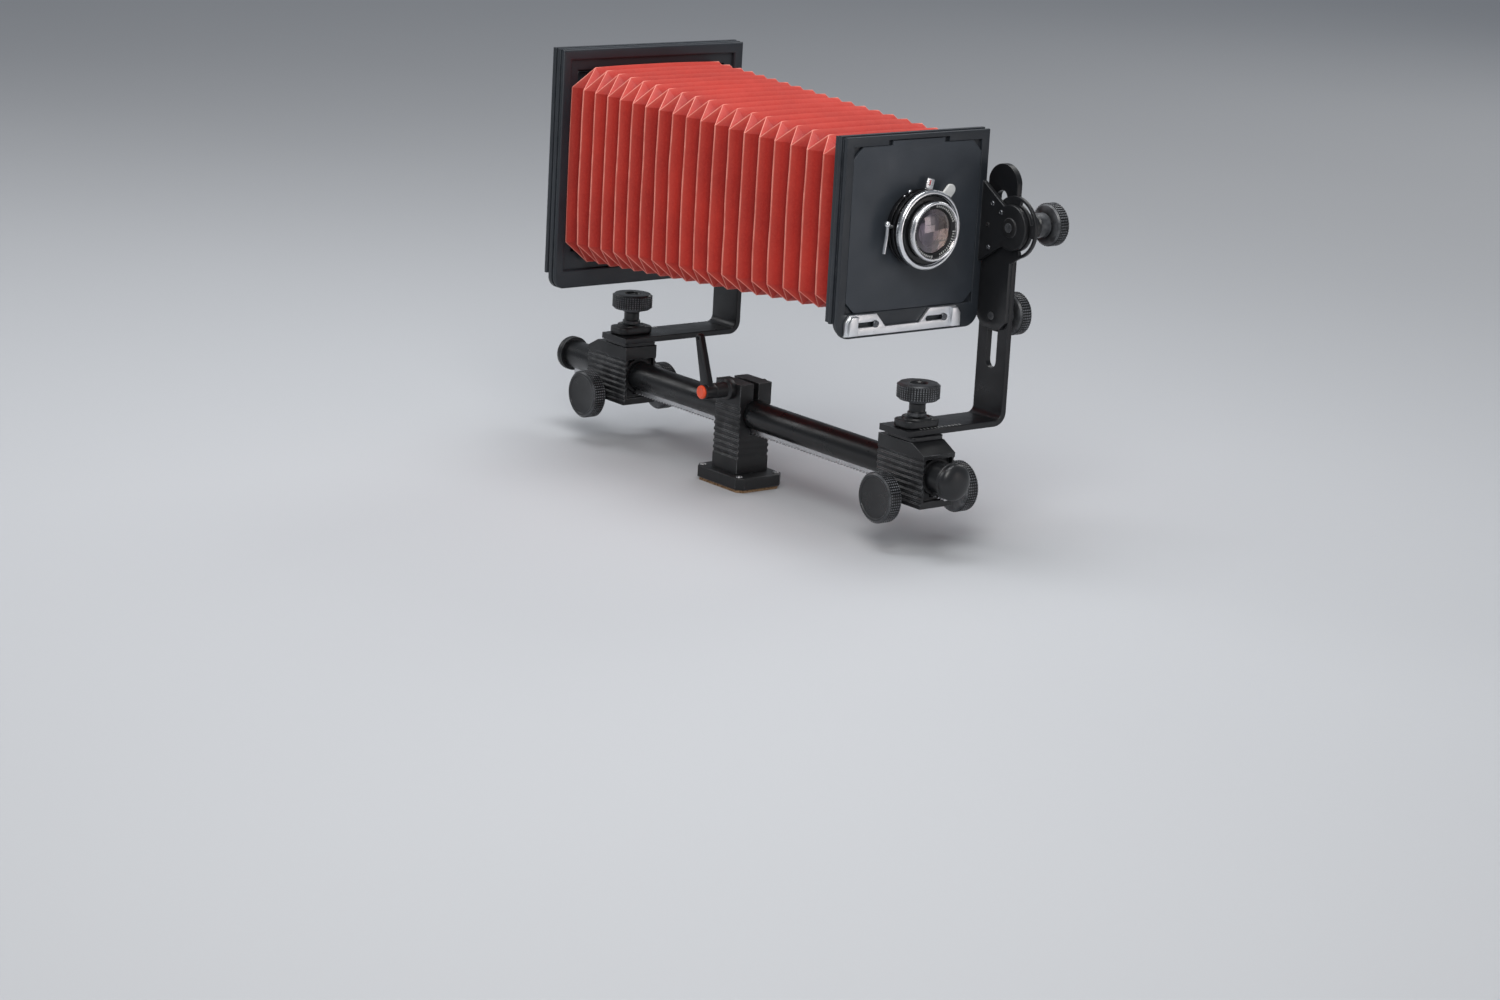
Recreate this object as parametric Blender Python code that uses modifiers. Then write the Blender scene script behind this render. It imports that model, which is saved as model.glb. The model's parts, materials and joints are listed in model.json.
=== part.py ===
"""Large format view camera: a round monorail in a tripod clamp, two L-bracket standards and a pleated bellows.

Units are metres. The origin is the middle of the tripod clamp's base face, +Z is up, the lens looks along -Y
and both brackets rise on the +X side. The optical axis and the rail lie in the plane X = 0.
"""

import math

import bmesh
import bpy
from mathutils import Matrix, Vector

MM = 0.001
GAP = 0.3 * MM  # running clearance between neighbouring pieces

# Rail and clamp
RAIL_Z = 78 * MM
RAIL_RADIUS = 15 * MM
RAIL_BORE = 11.5 * MM
RAIL_FRONT = -329 * MM
RAIL_REAR = 301 * MM
CAP_LENGTH = 15 * MM
CAP_RADIUS = 18.5 * MM
RACK_WIDTH = 8.4 * MM
RACK_TOP = RAIL_Z - 13.6 * MM
RACK_BOTTOM = RAIL_Z - 20.1 * MM
RACK_DEPTH = 2.2 * MM
PINION_TEETH = 6
PITCH_RADIUS = 4.75 * MM
CLAMP_HALF_WIDTH = 20.5 * MM
CLAMP_HALF_DEPTH = 21 * MM
CLAMP_TOP = RAIL_Z + 33 * MM
BASE_HALF_X = 30 * MM
BASE_HALF_Y = 39 * MM
PAD_TOP = 3 * MM
BASE_TOP = 16 * MM
BUSH_Y = 14 * MM  # both bushes lie this far from the foot's middle
BUSHES = (("tripod_bush", BUSH_Y, 8 * MM, 4.2 * MM), ("tripod_bush_small", -BUSH_Y, 6 * MM, 2.8 * MM))
LEVER_Y = -4 * MM
LEVER_Z = RAIL_Z + 26 * MM
LEVER_X = -50 * MM
LEVER_LENGTH = 56 * MM
LEVER_LEAN = math.radians(18)

# Bearers that run on the rail
BEARER_HALF_WIDTH = 20.5 * MM
BEARER_LENGTH = 70 * MM
BEARER_TOP = RAIL_Z + 32 * MM
BEARER_BOTTOM = RAIL_Z - 31 * MM
PINION_Z = RAIL_Z - 25 * MM
SLEEVE_RADIUS = 18.5 * MM
FOCUS_KNOB_RADIUS = 25.5 * MM
FOCUS_KNOB_THICK = 16 * MM
LEFT_KNOB_X = -31 * MM  # inner face
RIGHT_KNOB_X = 53 * MM  # inner face

# Swing, shift, rise and tilt
SWING_PLATE_TOP = RAIL_Z + 36.7 * MM
ARM_BOTTOM = RAIL_Z + 37 * MM
STRAP_THICK = 6.4 * MM
STRAP_WIDTH = 43 * MM
STRAP_OFFSET = 4 * MM  # the strap's middle lies this far off the swing axis, away from its tilt axis
BEND_RADIUS = 14 * MM
ARM_END_X = -26 * MM
SADDLE_HALF_X = 21.5 * MM
SADDLE_HALF_Y = 14 * MM
SADDLE_TOP = RAIL_Z + 53.5 * MM
KNOB_RADIUS = 21.5 * MM
KNOB_THICK = 16.5 * MM
STEM_RADIUS = 9.6 * MM
HUB_RADIUS = 12 * MM  # the tilt lock's long hub
SWING_KNOB_Z = RAIL_Z + 70.5 * MM
SHIFT_TRAVEL = 15 * MM
SHIFT_BOLT_RADIUS = 4 * MM
SLOT_WIDTH = 15 * MM
SLOT_BOTTOM = RAIL_Z + 92 * MM
SLOT_TOP = RAIL_Z + 271 * MM
UPRIGHT_TOP = RAIL_Z + 297 * MM
TILT_Z = RAIL_Z + 238 * MM  # also the optical axis
TILT_OFFSET = -20.8 * MM
TILT_BOLT_RADIUS = 3 * MM
ARM_HEAD_RADIUS = 22.5 * MM
CARRIER_HEAD_RADIUS = 31 * MM
CARRIER_THICK = 3.7 * MM
RISE_BOLT_DROP = 93 * MM
RISE_BOLT_RADIUS = 4 * MM

# Standards
FRONT_SWING_Y = -274 * MM
REAR_SWING_Y = 200 * MM
FRONT_HALF = 91.5 * MM
REAR_HALF = 118.7 * MM
FRONT_FACE_Y = FRONT_SWING_Y + 22.2 * MM
REAR_FACE_Y = REAR_SWING_Y - 20 * MM
FRAME_DEPTH = 18.6 * MM
LIP_DEPTH = 4.2 * MM
FRONT_FOOT = 106 * MM  # optical axis down to the underside of the bottom bar
REAR_FOOT = 134.5 * MM
BOARD_HALF = 81 * MM
BOARD_CUT = 11 * MM
BOARD_THICK = 3 * MM
LOCK_SCREW_X = (-45 * MM, 43 * MM)

# Lens in its leaf shutter
LENS_BORE = 19 * MM
SHUTTER_RADIUS = 36 * MM
BEZEL_RADIUS = 39.5 * MM
BEZEL_BORE = 33.8 * MM
FRONT_CELL_RADIUS = 29.3 * MM
GLASS_RADIUS = 21.5 * MM

# Bellows
BELLOWS_FRONT_HALF = 80 * MM
BELLOWS_REAR_HALF = 103 * MM
BELLOWS_WALL = 5 * MM
BELLOWS_DROP = 3 * MM  # the rear end's middle lies this far below the optical axis

# Focusing back
BACK_HALF = 92 * MM
BACK_THICK = 8 * MM
WINDOW_HALF_X = 67 * MM
WINDOW_HALF_Z = 54.5 * MM
SPRING_HALF_X = 80 * MM
SPRING_HALF_Z = 70 * MM
SPRING_THICK = 8 * MM
BAIL_RADIUS = 2 * MM
BAIL_HINGE_Y = REAR_FACE_Y + FRAME_DEPTH + 9.5 * MM
BAIL_HINGE_Z = TILT_Z - 58 * MM

ROUND_STEPS = 18
LARGE_STEPS = 24
RING_GAP = 0.6 * MM  # clearance round the shutter, whose rings turn

BLACK = (0.018, 0.019, 0.021)
PARTS = bpy.data.collections.new("view_camera")
CUTTERS = bpy.data.collections.new("cutters")


# ---------------------------------------------------------------- tools


def clear_scene():
    for obj in list(bpy.data.objects):
        bpy.data.objects.remove(obj)
    for collection in (PARTS, CUTTERS):
        bpy.context.scene.collection.children.link(collection)
    CUTTERS.hide_render = True


def finish(name, colour, roughness, metallic):
    """A Principled material of this name, made once."""
    material = bpy.data.materials.get(name)
    if material:
        return material
    material = bpy.data.materials.new(name)
    material.use_nodes = True
    shader = material.node_tree.nodes["Principled BSDF"]
    shader.inputs["Base Color"].default_value = (*colour, 1)
    shader.inputs["Roughness"].default_value = roughness
    shader.inputs["Metallic"].default_value = metallic
    return material


def anodised():
    return finish("black anodised aluminium", BLACK, 0.38, 0.6)


def moulded():
    return finish("black moulded plastic", (0.022, 0.024, 0.027), 0.45, 0.0)


def painted():
    return finish("black crackle paint", (0.02, 0.021, 0.024), 0.55, 0.0)


def chrome():
    return finish("chrome", (0.78, 0.79, 0.8), 0.12, 1.0)


def steel():
    return finish("plain steel", (0.45, 0.45, 0.46), 0.35, 1.0)


def brass():
    return finish("brass", (0.62, 0.46, 0.2), 0.3, 1.0)


def glass():
    return finish("coated glass", (0.25, 0.2, 0.24), 0.03, 0.0)


def frosted():
    return finish("ground glass", (0.72, 0.8, 0.79), 0.5, 0.0)


def red_cloth():
    return finish("red bellows cloth", (0.42, 0.03, 0.025), 0.7, 0.0)


def orange():
    return finish("orange plastic", (0.9, 0.1, 0.02), 0.4, 0.0)


def cork():
    return finish("cork", (0.32, 0.19, 0.1), 0.9, 0.0)


def keep(obj, material):
    """Puts a finished piece in the parts collection with its own copy of a material."""
    own = material.copy()
    own.name = f"{obj.name} {material.name}"
    obj.data.materials.clear()
    obj.data.materials.append(own)
    PARTS.objects.link(obj)
    return obj


def as_cutter(obj):
    obj.hide_render = True
    obj.display_type = "WIRE"
    CUTTERS.objects.link(obj)
    return obj


def pivot(obj, point):
    """Moves the object's origin to a point on its joint axis and leaves its shape where it is."""
    world = obj.matrix_world.copy()
    shift = world.inverted() @ Vector(point)
    obj.data.transform(Matrix.Translation(-shift))
    obj.matrix_world = world @ Matrix.Translation(shift)
    return obj


def cut(obj, cutter, operation="DIFFERENCE"):
    modifier = obj.modifiers.new(operation.lower(), "BOOLEAN")
    modifier.operation = operation
    modifier.solver = "EXACT"
    modifier.object = as_cutter(cutter)
    return obj


def box(name, x, y, z):
    """A block between pairs of coordinates."""
    bm = bmesh.new()
    bmesh.ops.create_cube(bm, size=1)
    size = [high - low for low, high in (x, y, z)]
    middle = [(high + low) / 2 for low, high in (x, y, z)]
    bmesh.ops.scale(bm, vec=size, verts=bm.verts)
    bmesh.ops.translate(bm, vec=middle, verts=bm.verts)
    mesh = bpy.data.meshes.new(name)
    bm.to_mesh(mesh)
    bm.free()
    return bpy.data.objects.new(name, mesh)


# Columns give where a shape's own x, y and z point in the world.
TURN = {
    "X": Matrix(((0, 0, 1), (1, 0, 0), (0, 1, 0))).to_4x4(),
    "Y": Matrix(((0, 1, 0), (0, 0, 1), (1, 0, 0))).to_4x4(),
    "Z": Matrix.Identity(4),
}
FACE = {
    "X": Matrix(((0, 0, 1), (1, 0, 0), (0, 1, 0))).to_4x4(),
    "Y": Matrix(((1, 0, 0), (0, 0, -1), (0, 1, 0))).to_4x4(),
    "Z": Matrix.Identity(4),
}


def prism(name, loops, axis, start, end):
    """A flat outline, with any holes after it, extruded along an axis.

    Outline points are (y, z) for axis X, (x, z) for axis Y and (x, y) for axis Z.
    """
    curve = bpy.data.curves.new(name, "CURVE")
    curve.dimensions = "2D"
    curve.fill_mode = "BOTH"
    curve.extrude = abs(end - start) / 2
    for loop in loops:
        spline = curve.splines.new("POLY")
        spline.points.add(len(loop) - 1)
        for point, (u, v) in zip(spline.points, loop):
            point.co = (u, v, 0, 1)
        spline.use_cyclic_u = True
    middle = {"X": (1, 0, 0), "Y": (0, 1, 0), "Z": (0, 0, 1)}[axis]
    place = Matrix.Translation(Vector(middle) * (start + end) / 2) @ FACE[axis]
    return as_mesh(name, curve, place)


def as_mesh(name, curve, place):
    """The solid of a curve as a mesh object, with the caps joined to the sides."""
    guide = bpy.data.objects.new(f"{name} outline", curve)
    bpy.context.scene.collection.objects.link(guide)
    graph = bpy.context.evaluated_depsgraph_get()
    mesh = bpy.data.meshes.new_from_object(guide.evaluated_get(graph))
    mesh.name = name
    bpy.data.objects.remove(guide)
    bm = bmesh.new()
    bm.from_mesh(mesh)
    bmesh.ops.remove_doubles(bm, verts=bm.verts, dist=0.001 * MM)
    bmesh.ops.recalc_face_normals(bm, faces=bm.faces)
    bm.to_mesh(mesh)
    bm.free()
    obj = bpy.data.objects.new(name, mesh)
    obj.matrix_world = place
    return obj


def turned(name, profile, axis, centre, steps=ROUND_STEPS):
    """A profile of (radius, height) points, running down its outer side, turned about an axis."""
    mesh = bpy.data.meshes.new(name)
    points = [(radius, 0, height) for radius, height in profile]
    edges = [(i, i + 1) for i in range(len(points) - 1)]
    if profile[0][0] > 0:
        edges.append((len(points) - 1, 0))
    mesh.from_pydata(points, edges, [])
    obj = bpy.data.objects.new(name, mesh)
    obj.matrix_world = Matrix.Translation(Vector(centre)) @ TURN[axis]
    screw = obj.modifiers.new("turn", "SCREW")
    screw.angle = 2 * math.pi
    screw.steps = steps
    screw.render_steps = steps
    screw.use_merge_vertices = True
    screw.merge_threshold = 0.01 * MM
    screw.use_smooth_shade = True
    return obj


def rod(name, axis, centre, radius, low, high, steps=ROUND_STEPS):
    """A plain cylinder between two places along its axis."""
    return turned(name, [(0, high), (radius, high), (radius, low), (0, low)], axis, centre, steps)


def tube(name, axis, centre, outer, inner, low, high, steps=ROUND_STEPS):
    return turned(name, [(inner, high), (outer, high), (outer, low), (inner, low)], axis, centre, steps)


def arc(centre, radius, first, last, steps):
    """Points along an arc, angles in degrees, both ends included."""
    turn = (last - first) / steps
    angles = [math.radians(first + turn * i) for i in range(steps + 1)]
    return [(centre[0] + radius * math.cos(a), centre[1] + radius * math.sin(a)) for a in angles]


def rectangle(half_u, half_v, middle=(0, 0), cut_off=0):
    """A rectangle's outline; cut_off takes its corners off at 45 degrees."""
    u, v = middle
    if not cut_off:
        return [(u + half_u * a, v + half_v * b) for a, b in ((-1, -1), (1, -1), (1, 1), (-1, 1))]
    outline = []
    for a, b in ((1, -1), (1, 1), (-1, 1), (-1, -1)):
        side = (u + half_u * a, v + (half_v - cut_off) * b)
        end = (u + (half_u - cut_off) * a, v + half_v * b)
        outline += [side, end] if a == b else [end, side]
    return outline


def stadium(middle, half_width, half_length, upright=True, steps=6):
    """A slot's outline with round ends; half_length is taken to the ends' centres."""
    u, v = middle
    if upright:
        top = arc((u, v + half_length), half_width, 0, 180, steps)
        return top + arc((u, v - half_length), half_width, 180, 360, steps)
    right = arc((u + half_length, v), half_width, -90, 90, steps)
    return right + arc((u - half_length, v), half_width, 90, 270, steps)


def circle(middle, radius, steps=16):
    return arc(middle, radius, 0, 360 * (steps - 1) / steps, steps - 1)


# ---------------------------------------------------------------- rail and tripod clamp


def rail_tube():
    centre = (0, 0, RAIL_Z)
    obj = tube("rail_tube", "Y", centre, RAIL_RADIUS, RAIL_BORE, RAIL_FRONT, RAIL_REAR, LARGE_STEPS)
    half = RACK_WIDTH / 2 + GAP
    flat = (RAIL_FRONT - MM, RAIL_REAR + MM)
    cut(obj, box("rack_seat_cutter", (-half, half), flat, (RAIL_Z - 20 * MM, RACK_TOP + GAP)))
    return keep(obj, anodised())


def focus_rack():
    """The toothed strip under the rail, drawn from the side, that both pinions climb along."""
    pitch = 2 * math.pi * PITCH_RADIUS / PINION_TEETH
    start = RAIL_FRONT + 2 * MM
    count = int((RAIL_REAR - 2 * MM - start) / pitch)
    end = start + count * pitch
    outline = [(end, RACK_TOP), (start, RACK_TOP)]
    for i in range(count):
        outline.append((start + i * pitch, RACK_BOTTOM))
        outline.append((start + (i + 0.5) * pitch, RACK_BOTTOM + RACK_DEPTH))
    outline.append((end, RACK_BOTTOM))
    half = RACK_WIDTH / 2
    return keep(prism("focus_rack", [outline], "X", -half, half), steel())


def rail_cap(name, face, outward):
    """A domed end cap with a spigot in the tube; face is the tube's end and outward is +1 or -1."""
    r = CAP_RADIUS
    spigot = RAIL_BORE - GAP
    depth = CAP_LENGTH
    profile = [(0, depth), (0.45 * r, 0.97 * depth), (0.8 * r, 0.8 * depth), (r, 0.45 * depth), (r, GAP)]
    profile += [(spigot, GAP), (spigot, -9 * MM), (0, -9 * MM)]
    if outward < 0:
        profile = [(radius, -height) for radius, height in reversed(profile)]
    return keep(turned(name, profile, "Y", (0, face, RAIL_Z)), moulded())


def clamp_body():
    """The tall block that carries the rail: ribbed sides, a through bore and a slit between two jaws."""
    outline = ribbed_outline(CLAMP_HALF_WIDTH, BASE_TOP + GAP, CLAMP_TOP, 9, RAIL_Z - 46 * MM, RAIL_Z + 12 * MM)
    bore = circle((0, RAIL_Z), RAIL_RADIUS + GAP, LARGE_STEPS)
    obj = prism("clamp_body", [outline, bore], "Y", -CLAMP_HALF_DEPTH, CLAMP_HALF_DEPTH)
    through = (-30 * MM, 30 * MM)
    cut(obj, box("clamp_slit_cutter", (-3.5 * MM, 3.5 * MM), through, (RAIL_Z, CLAMP_TOP + MM)))
    rack = (RACK_BOTTOM - MM, RAIL_Z - 10 * MM)
    cut(obj, box("clamp_rack_cutter", (-5 * MM, 5 * MM), through, rack))
    centre = (0, LEVER_Y, LEVER_Z)
    cut(obj, rod("clamp_screw_cutter", "X", centre, 4.3 * MM, -30 * MM, 30 * MM, 16))
    return keep(obj, painted())


def ribbed_outline(half, bottom, top, ribs, low, high):
    """A block's front outline whose two sides carry level grooves between low and high."""
    pitch = (high - low) / ribs
    depth = 1.2 * MM
    side = [(half, bottom)]
    for i in range(ribs):
        z = low + i * pitch
        side += [(half, z), (half - depth, z + 0.25 * pitch), (half - depth, z + 0.5 * pitch)]
        side += [(half, z + 0.75 * pitch)]
    side.append((half, top))
    return side + [(-x, z) for x, z in reversed(side)]


def clamp_base():
    """The foot plate under the clamp, with its bush holes."""
    outline = rectangle(BASE_HALF_X, BASE_HALF_Y, cut_off=7 * MM)
    holes = [circle((0, y), radius + GAP) for _, y, radius, _ in BUSHES]
    obj = prism("clamp_base", [outline, *holes], "Z", PAD_TOP + GAP, BASE_TOP)
    return keep(obj, painted())


def base_pad():
    outline = rectangle(BASE_HALF_X - 2 * MM, BASE_HALF_Y - 2 * MM, cut_off=6 * MM)
    holes = [circle((0, y), radius + 1.5 * MM) for _, y, radius, _ in BUSHES]
    return keep(prism("base_pad", [outline, *holes], "Z", 0, PAD_TOP), cork())


def tripod_bush(name, y, radius, bore):
    """A threaded steel bush that a tripod's screw goes into."""
    top = BASE_TOP - GAP
    profile = [(bore, top), (radius, top), (radius, 2 * MM), (bore, 2 * MM)]
    return keep(turned(name, profile, "Z", (0, y, 0)), steel())


def clamp_lever():
    """The lever with its barrel and screw, turning about the screw's axis."""
    centre = (0, LEVER_Y, LEVER_Z)
    barrel = 8 * MM
    screw = 4 * MM
    nut = 6.5 * MM
    inner = -CLAMP_HALF_WIDTH - GAP
    outer = CLAMP_HALF_WIDTH + GAP
    profile = [(0, outer + 4 * MM), (nut, outer + 4 * MM), (nut, outer), (screw, outer), (screw, inner)]
    profile += [(11 * MM, inner), (11 * MM, -27.6 * MM), (barrel, -28.4 * MM), (barrel, -57 * MM), (0, -57 * MM)]
    obj = turned("clamp_lever", profile, "X", centre)
    base = 7 * MM
    tip = 4.2 * MM
    side = math.degrees(math.asin((base - tip) / LEVER_LENGTH))
    blade = arc((0, 0), base, 180 - side, 360 + side, 8) + arc((0, LEVER_LENGTH), tip, side, 180 - side, 6)
    lean = Matrix.Rotation(-LEVER_LEAN, 2)
    loops = [blade, circle((0, LEVER_LENGTH - MM), 1.5 * MM, 10)]
    placed = [[tuple(lean @ Vector(p) + Vector((LEVER_Y, LEVER_Z))) for p in loop] for loop in loops]
    cut(obj, prism("lever_blade", placed, "X", LEVER_X - 3.5 * MM, LEVER_X + 3.5 * MM), "UNION")
    return keep(obj, anodised())


def lever_cap():
    centre = (-57 * MM - GAP, LEVER_Y, LEVER_Z)
    profile = [(0, 0), (7 * MM, 0), (7 * MM, -1.6 * MM), (5.6 * MM, -2.8 * MM), (0, -3.2 * MM)]
    return keep(turned("lever_cap", profile, "X", centre), orange())


# ---------------------------------------------------------------- bearers


def bearer(name, front, slope_front, pinion_y):
    """A ribbed block on the rail with a recess in each end, a liner bore and a pinion tunnel."""
    rear = front + BEARER_LENGTH
    low = BEARER_BOTTOM + 4 * MM
    high = BEARER_TOP - 12 * MM
    outline = ribbed_outline(BEARER_HALF_WIDTH, BEARER_BOTTOM, BEARER_TOP, 8, low, high)
    bore = circle((0, RAIL_Z), SLEEVE_RADIUS + GAP, LARGE_STEPS)
    obj = prism(name, [outline, bore], "Y", front, rear)
    recess_x = (-17.2 * MM, 17.2 * MM)
    recess_z = (RAIL_Z - 24 * MM, RAIL_Z + 18.6 * MM)
    cut(obj, box(f"{name}_front_recess", recess_x, (front - MM, front + 6 * MM), recess_z))
    cut(obj, box(f"{name}_rear_recess", recess_x, (rear - 6 * MM, rear + MM), recess_z))
    sloped = front if slope_front else rear
    inward = 1 if slope_front else -1
    start = BEARER_TOP - 9.5 * MM
    run = 18 * MM * inward
    edge = -2 * MM * inward
    rise = BEARER_TOP - start
    wedge = [(sloped + edge, start + edge / run * rise), (sloped + run * 1.2, start + 1.2 * rise)]
    wedge.append((sloped + edge, BEARER_TOP + 12 * MM))
    cut(obj, prism(f"{name}_slope", [wedge], "X", -25 * MM, 25 * MM))
    groove = (RACK_BOTTOM - 1.1 * MM, RAIL_Z - 10 * MM)
    cut(obj, box(f"{name}_rack_groove", (-5 * MM, 5 * MM), (front - MM, rear + MM), groove))
    axis = (0, pinion_y, PINION_Z)
    cut(obj, rod(f"{name}_tunnel", "X", axis, 5.2 * MM, -30 * MM, 30 * MM, 20))
    return keep(obj, painted())


def sleeve(name, front, pinion_y):
    """The plastic liner between bearer and rail, open below for the rack and the pinion."""
    start = front + 2 * MM
    end = front + BEARER_LENGTH - 2 * MM
    centre = (0, 0, RAIL_Z)
    obj = tube(name, "Y", centre, SLEEVE_RADIUS, RAIL_RADIUS + GAP, start, end, LARGE_STEPS)
    low = RAIL_Z - 30 * MM
    cut(obj, box(f"{name}_rack_way", (-5 * MM, 5 * MM), (start - MM, end + MM), (low, RAIL_Z - 8 * MM)))
    pinion = (pinion_y - 6 * MM, pinion_y + 6 * MM)
    cut(obj, box(f"{name}_pinion_way", (-8 * MM, 8 * MM), pinion, (low, RAIL_Z - 12 * MM)))
    return keep(obj, moulded())


def pinion_shaft(name, y):
    """The focusing shaft with the pinion cut in its middle."""
    centre = (0, y, PINION_Z)
    left = LEFT_KNOB_X - 10 * MM
    right = RIGHT_KNOB_X + 10 * MM
    obj = rod(name, "X", centre, 3 * MM, left, right, 16)
    outline = []
    for i in range(2 * PINION_TEETH):
        radius = (4.6 if i % 2 else 2.9) * MM
        angle = math.pi * i / PINION_TEETH
        outline.append((y + radius * math.cos(angle), PINION_Z + radius * math.sin(angle)))
    cut(obj, prism(f"{name}_teeth", [outline], "X", -5 * MM, 5 * MM), "UNION")
    return keep(obj, steel())


def focus_knob(name, y, inner, outward):
    """A knurled focusing wheel with a hub on the shaft; outward is +1 on the right and -1 on the left."""
    r = FOCUS_KNOB_RADIUS
    hub = 9 * MM
    bore = 3 * MM + GAP
    depth = FOCUS_KNOB_THICK
    hub_length = abs(inner) - BEARER_HALF_WIDTH - 1.5 * MM
    profile = [(0, depth - 2 * MM), (0.62 * r, depth - 2 * MM), (0.7 * r, depth), (r - 1.2 * MM, depth)]
    profile += [(r, depth - 1.2 * MM), (r, 1.2 * MM), (r - 1.2 * MM, 0), (hub, 0), (hub, -hub_length)]
    profile += [(bore, -hub_length), (bore, 11 * MM), (0, 11 * MM)]
    if outward < 0:
        profile = [(radius, -height) for radius, height in reversed(profile)]
    return keep(turned(name, profile, "X", (inner, y, PINION_Z)), moulded())


# ---------------------------------------------------------------- swing and shift


def swing_plate(name, y):
    """The turntable between bearer and bracket, with the lock bolt's square seat."""
    outline = rectangle(20 * MM, 20 * MM, (0, y), 4 * MM)
    hole = circle((0, y), SHIFT_BOLT_RADIUS + GAP)
    return keep(prism(name, [outline, hole], "Z", BEARER_TOP + GAP, SWING_PLATE_TOP), anodised())


def swing_saddle(name, y):
    """The clamping block on top of the strap, with cut corners and a low collar round the knob's stem."""
    shoulder = SADDLE_TOP - 2 * MM
    outline = rectangle(SADDLE_HALF_X, SADDLE_HALF_Y, (0, y), 6 * MM)
    hole = circle((0, y), SHIFT_BOLT_RADIUS + GAP)
    obj = prism(name, [outline, hole], "Z", ARM_BOTTOM + STRAP_THICK + GAP, shoulder)
    collar = tube(f"{name}_collar", "Z", (0, y, 0), 13 * MM, 10.6 * MM, shoulder - MM, SADDLE_TOP)
    cut(obj, collar, "UNION")
    return keep(obj, moulded())


def swing_knob(name, y):
    """The swing and shift lock: knurled head, stem and the bolt that runs down into the bearer."""
    base = SWING_KNOB_Z
    profile = knob_head(KNOB_RADIUS, KNOB_THICK)
    stem = SADDLE_TOP + GAP - base
    bolt_end = BEARER_TOP + MM - base
    profile += [(STEM_RADIUS, 0), (STEM_RADIUS, stem), (SHIFT_BOLT_RADIUS, stem)]
    profile += [(SHIFT_BOLT_RADIUS, bolt_end), (0, bolt_end)]
    return keep(turned(name, profile, "Z", (0, y, base)), moulded())


def knob_head(radius, thick):
    """The outer face and rim of a knurled knob, from its middle to the rim's inner edge."""
    profile = [(0, thick - 2.2 * MM), (0.5 * radius, thick - 2.2 * MM), (0.58 * radius, thick)]
    profile += [(radius - 1.2 * MM, thick), (radius, thick - 1.2 * MM), (radius, 1.2 * MM)]
    return profile + [(radius - 1.2 * MM, 0)]


def bracket(name, swing_y, outward, inner_x):
    """The bent flat strap: a level arm with the shift slot and an upright with the rise slot."""
    middle_y = swing_y + STRAP_OFFSET * outward
    low_y = middle_y - STRAP_WIDTH / 2
    high_y = middle_y + STRAP_WIDTH / 2
    outer_x = inner_x + STRAP_THICK
    top = ARM_BOTTOM + STRAP_THICK
    bend = (outer_x - BEND_RADIUS, ARM_BOTTOM + BEND_RADIUS)
    outline = [(ARM_END_X, top), (ARM_END_X, ARM_BOTTOM)] + arc(bend, BEND_RADIUS, -90, 0, 6)
    outline += [(outer_x, UPRIGHT_TOP), (inner_x, UPRIGHT_TOP)]
    outline += arc(bend, BEND_RADIUS - STRAP_THICK, 0, -90, 6)
    obj = prism(name, [outline], "Y", low_y, high_y)
    shift = stadium((0, swing_y), SHIFT_BOLT_RADIUS + GAP, SHIFT_TRAVEL, upright=False)
    cut(obj, prism(f"{name}_shift_slot", [shift], "Z", ARM_BOTTOM - MM, top + MM))
    half = SLOT_WIDTH / 2
    length = (SLOT_TOP - SLOT_BOTTOM) / 2 - half
    rise = stadium((middle_y, (SLOT_TOP + SLOT_BOTTOM) / 2), half, length)
    cut(obj, prism(f"{name}_rise_slot", [rise], "X", inner_x - MM, outer_x + MM))
    shoulder = UPRIGHT_TOP - STRAP_WIDTH / 2
    crown = arc((middle_y, shoulder), STRAP_WIDTH / 2, 0, 180, 12)
    crown += [(low_y - 2 * MM, shoulder), (low_y - 2 * MM, UPRIGHT_TOP + 2 * MM)]
    crown += [(high_y + 2 * MM, UPRIGHT_TOP + 2 * MM), (high_y + 2 * MM, shoulder)]
    cut(obj, prism(f"{name}_crown", [crown], "X", inner_x - MM, outer_x + MM))
    return keep(obj, anodised())


# ---------------------------------------------------------------- rise and tilt


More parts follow.
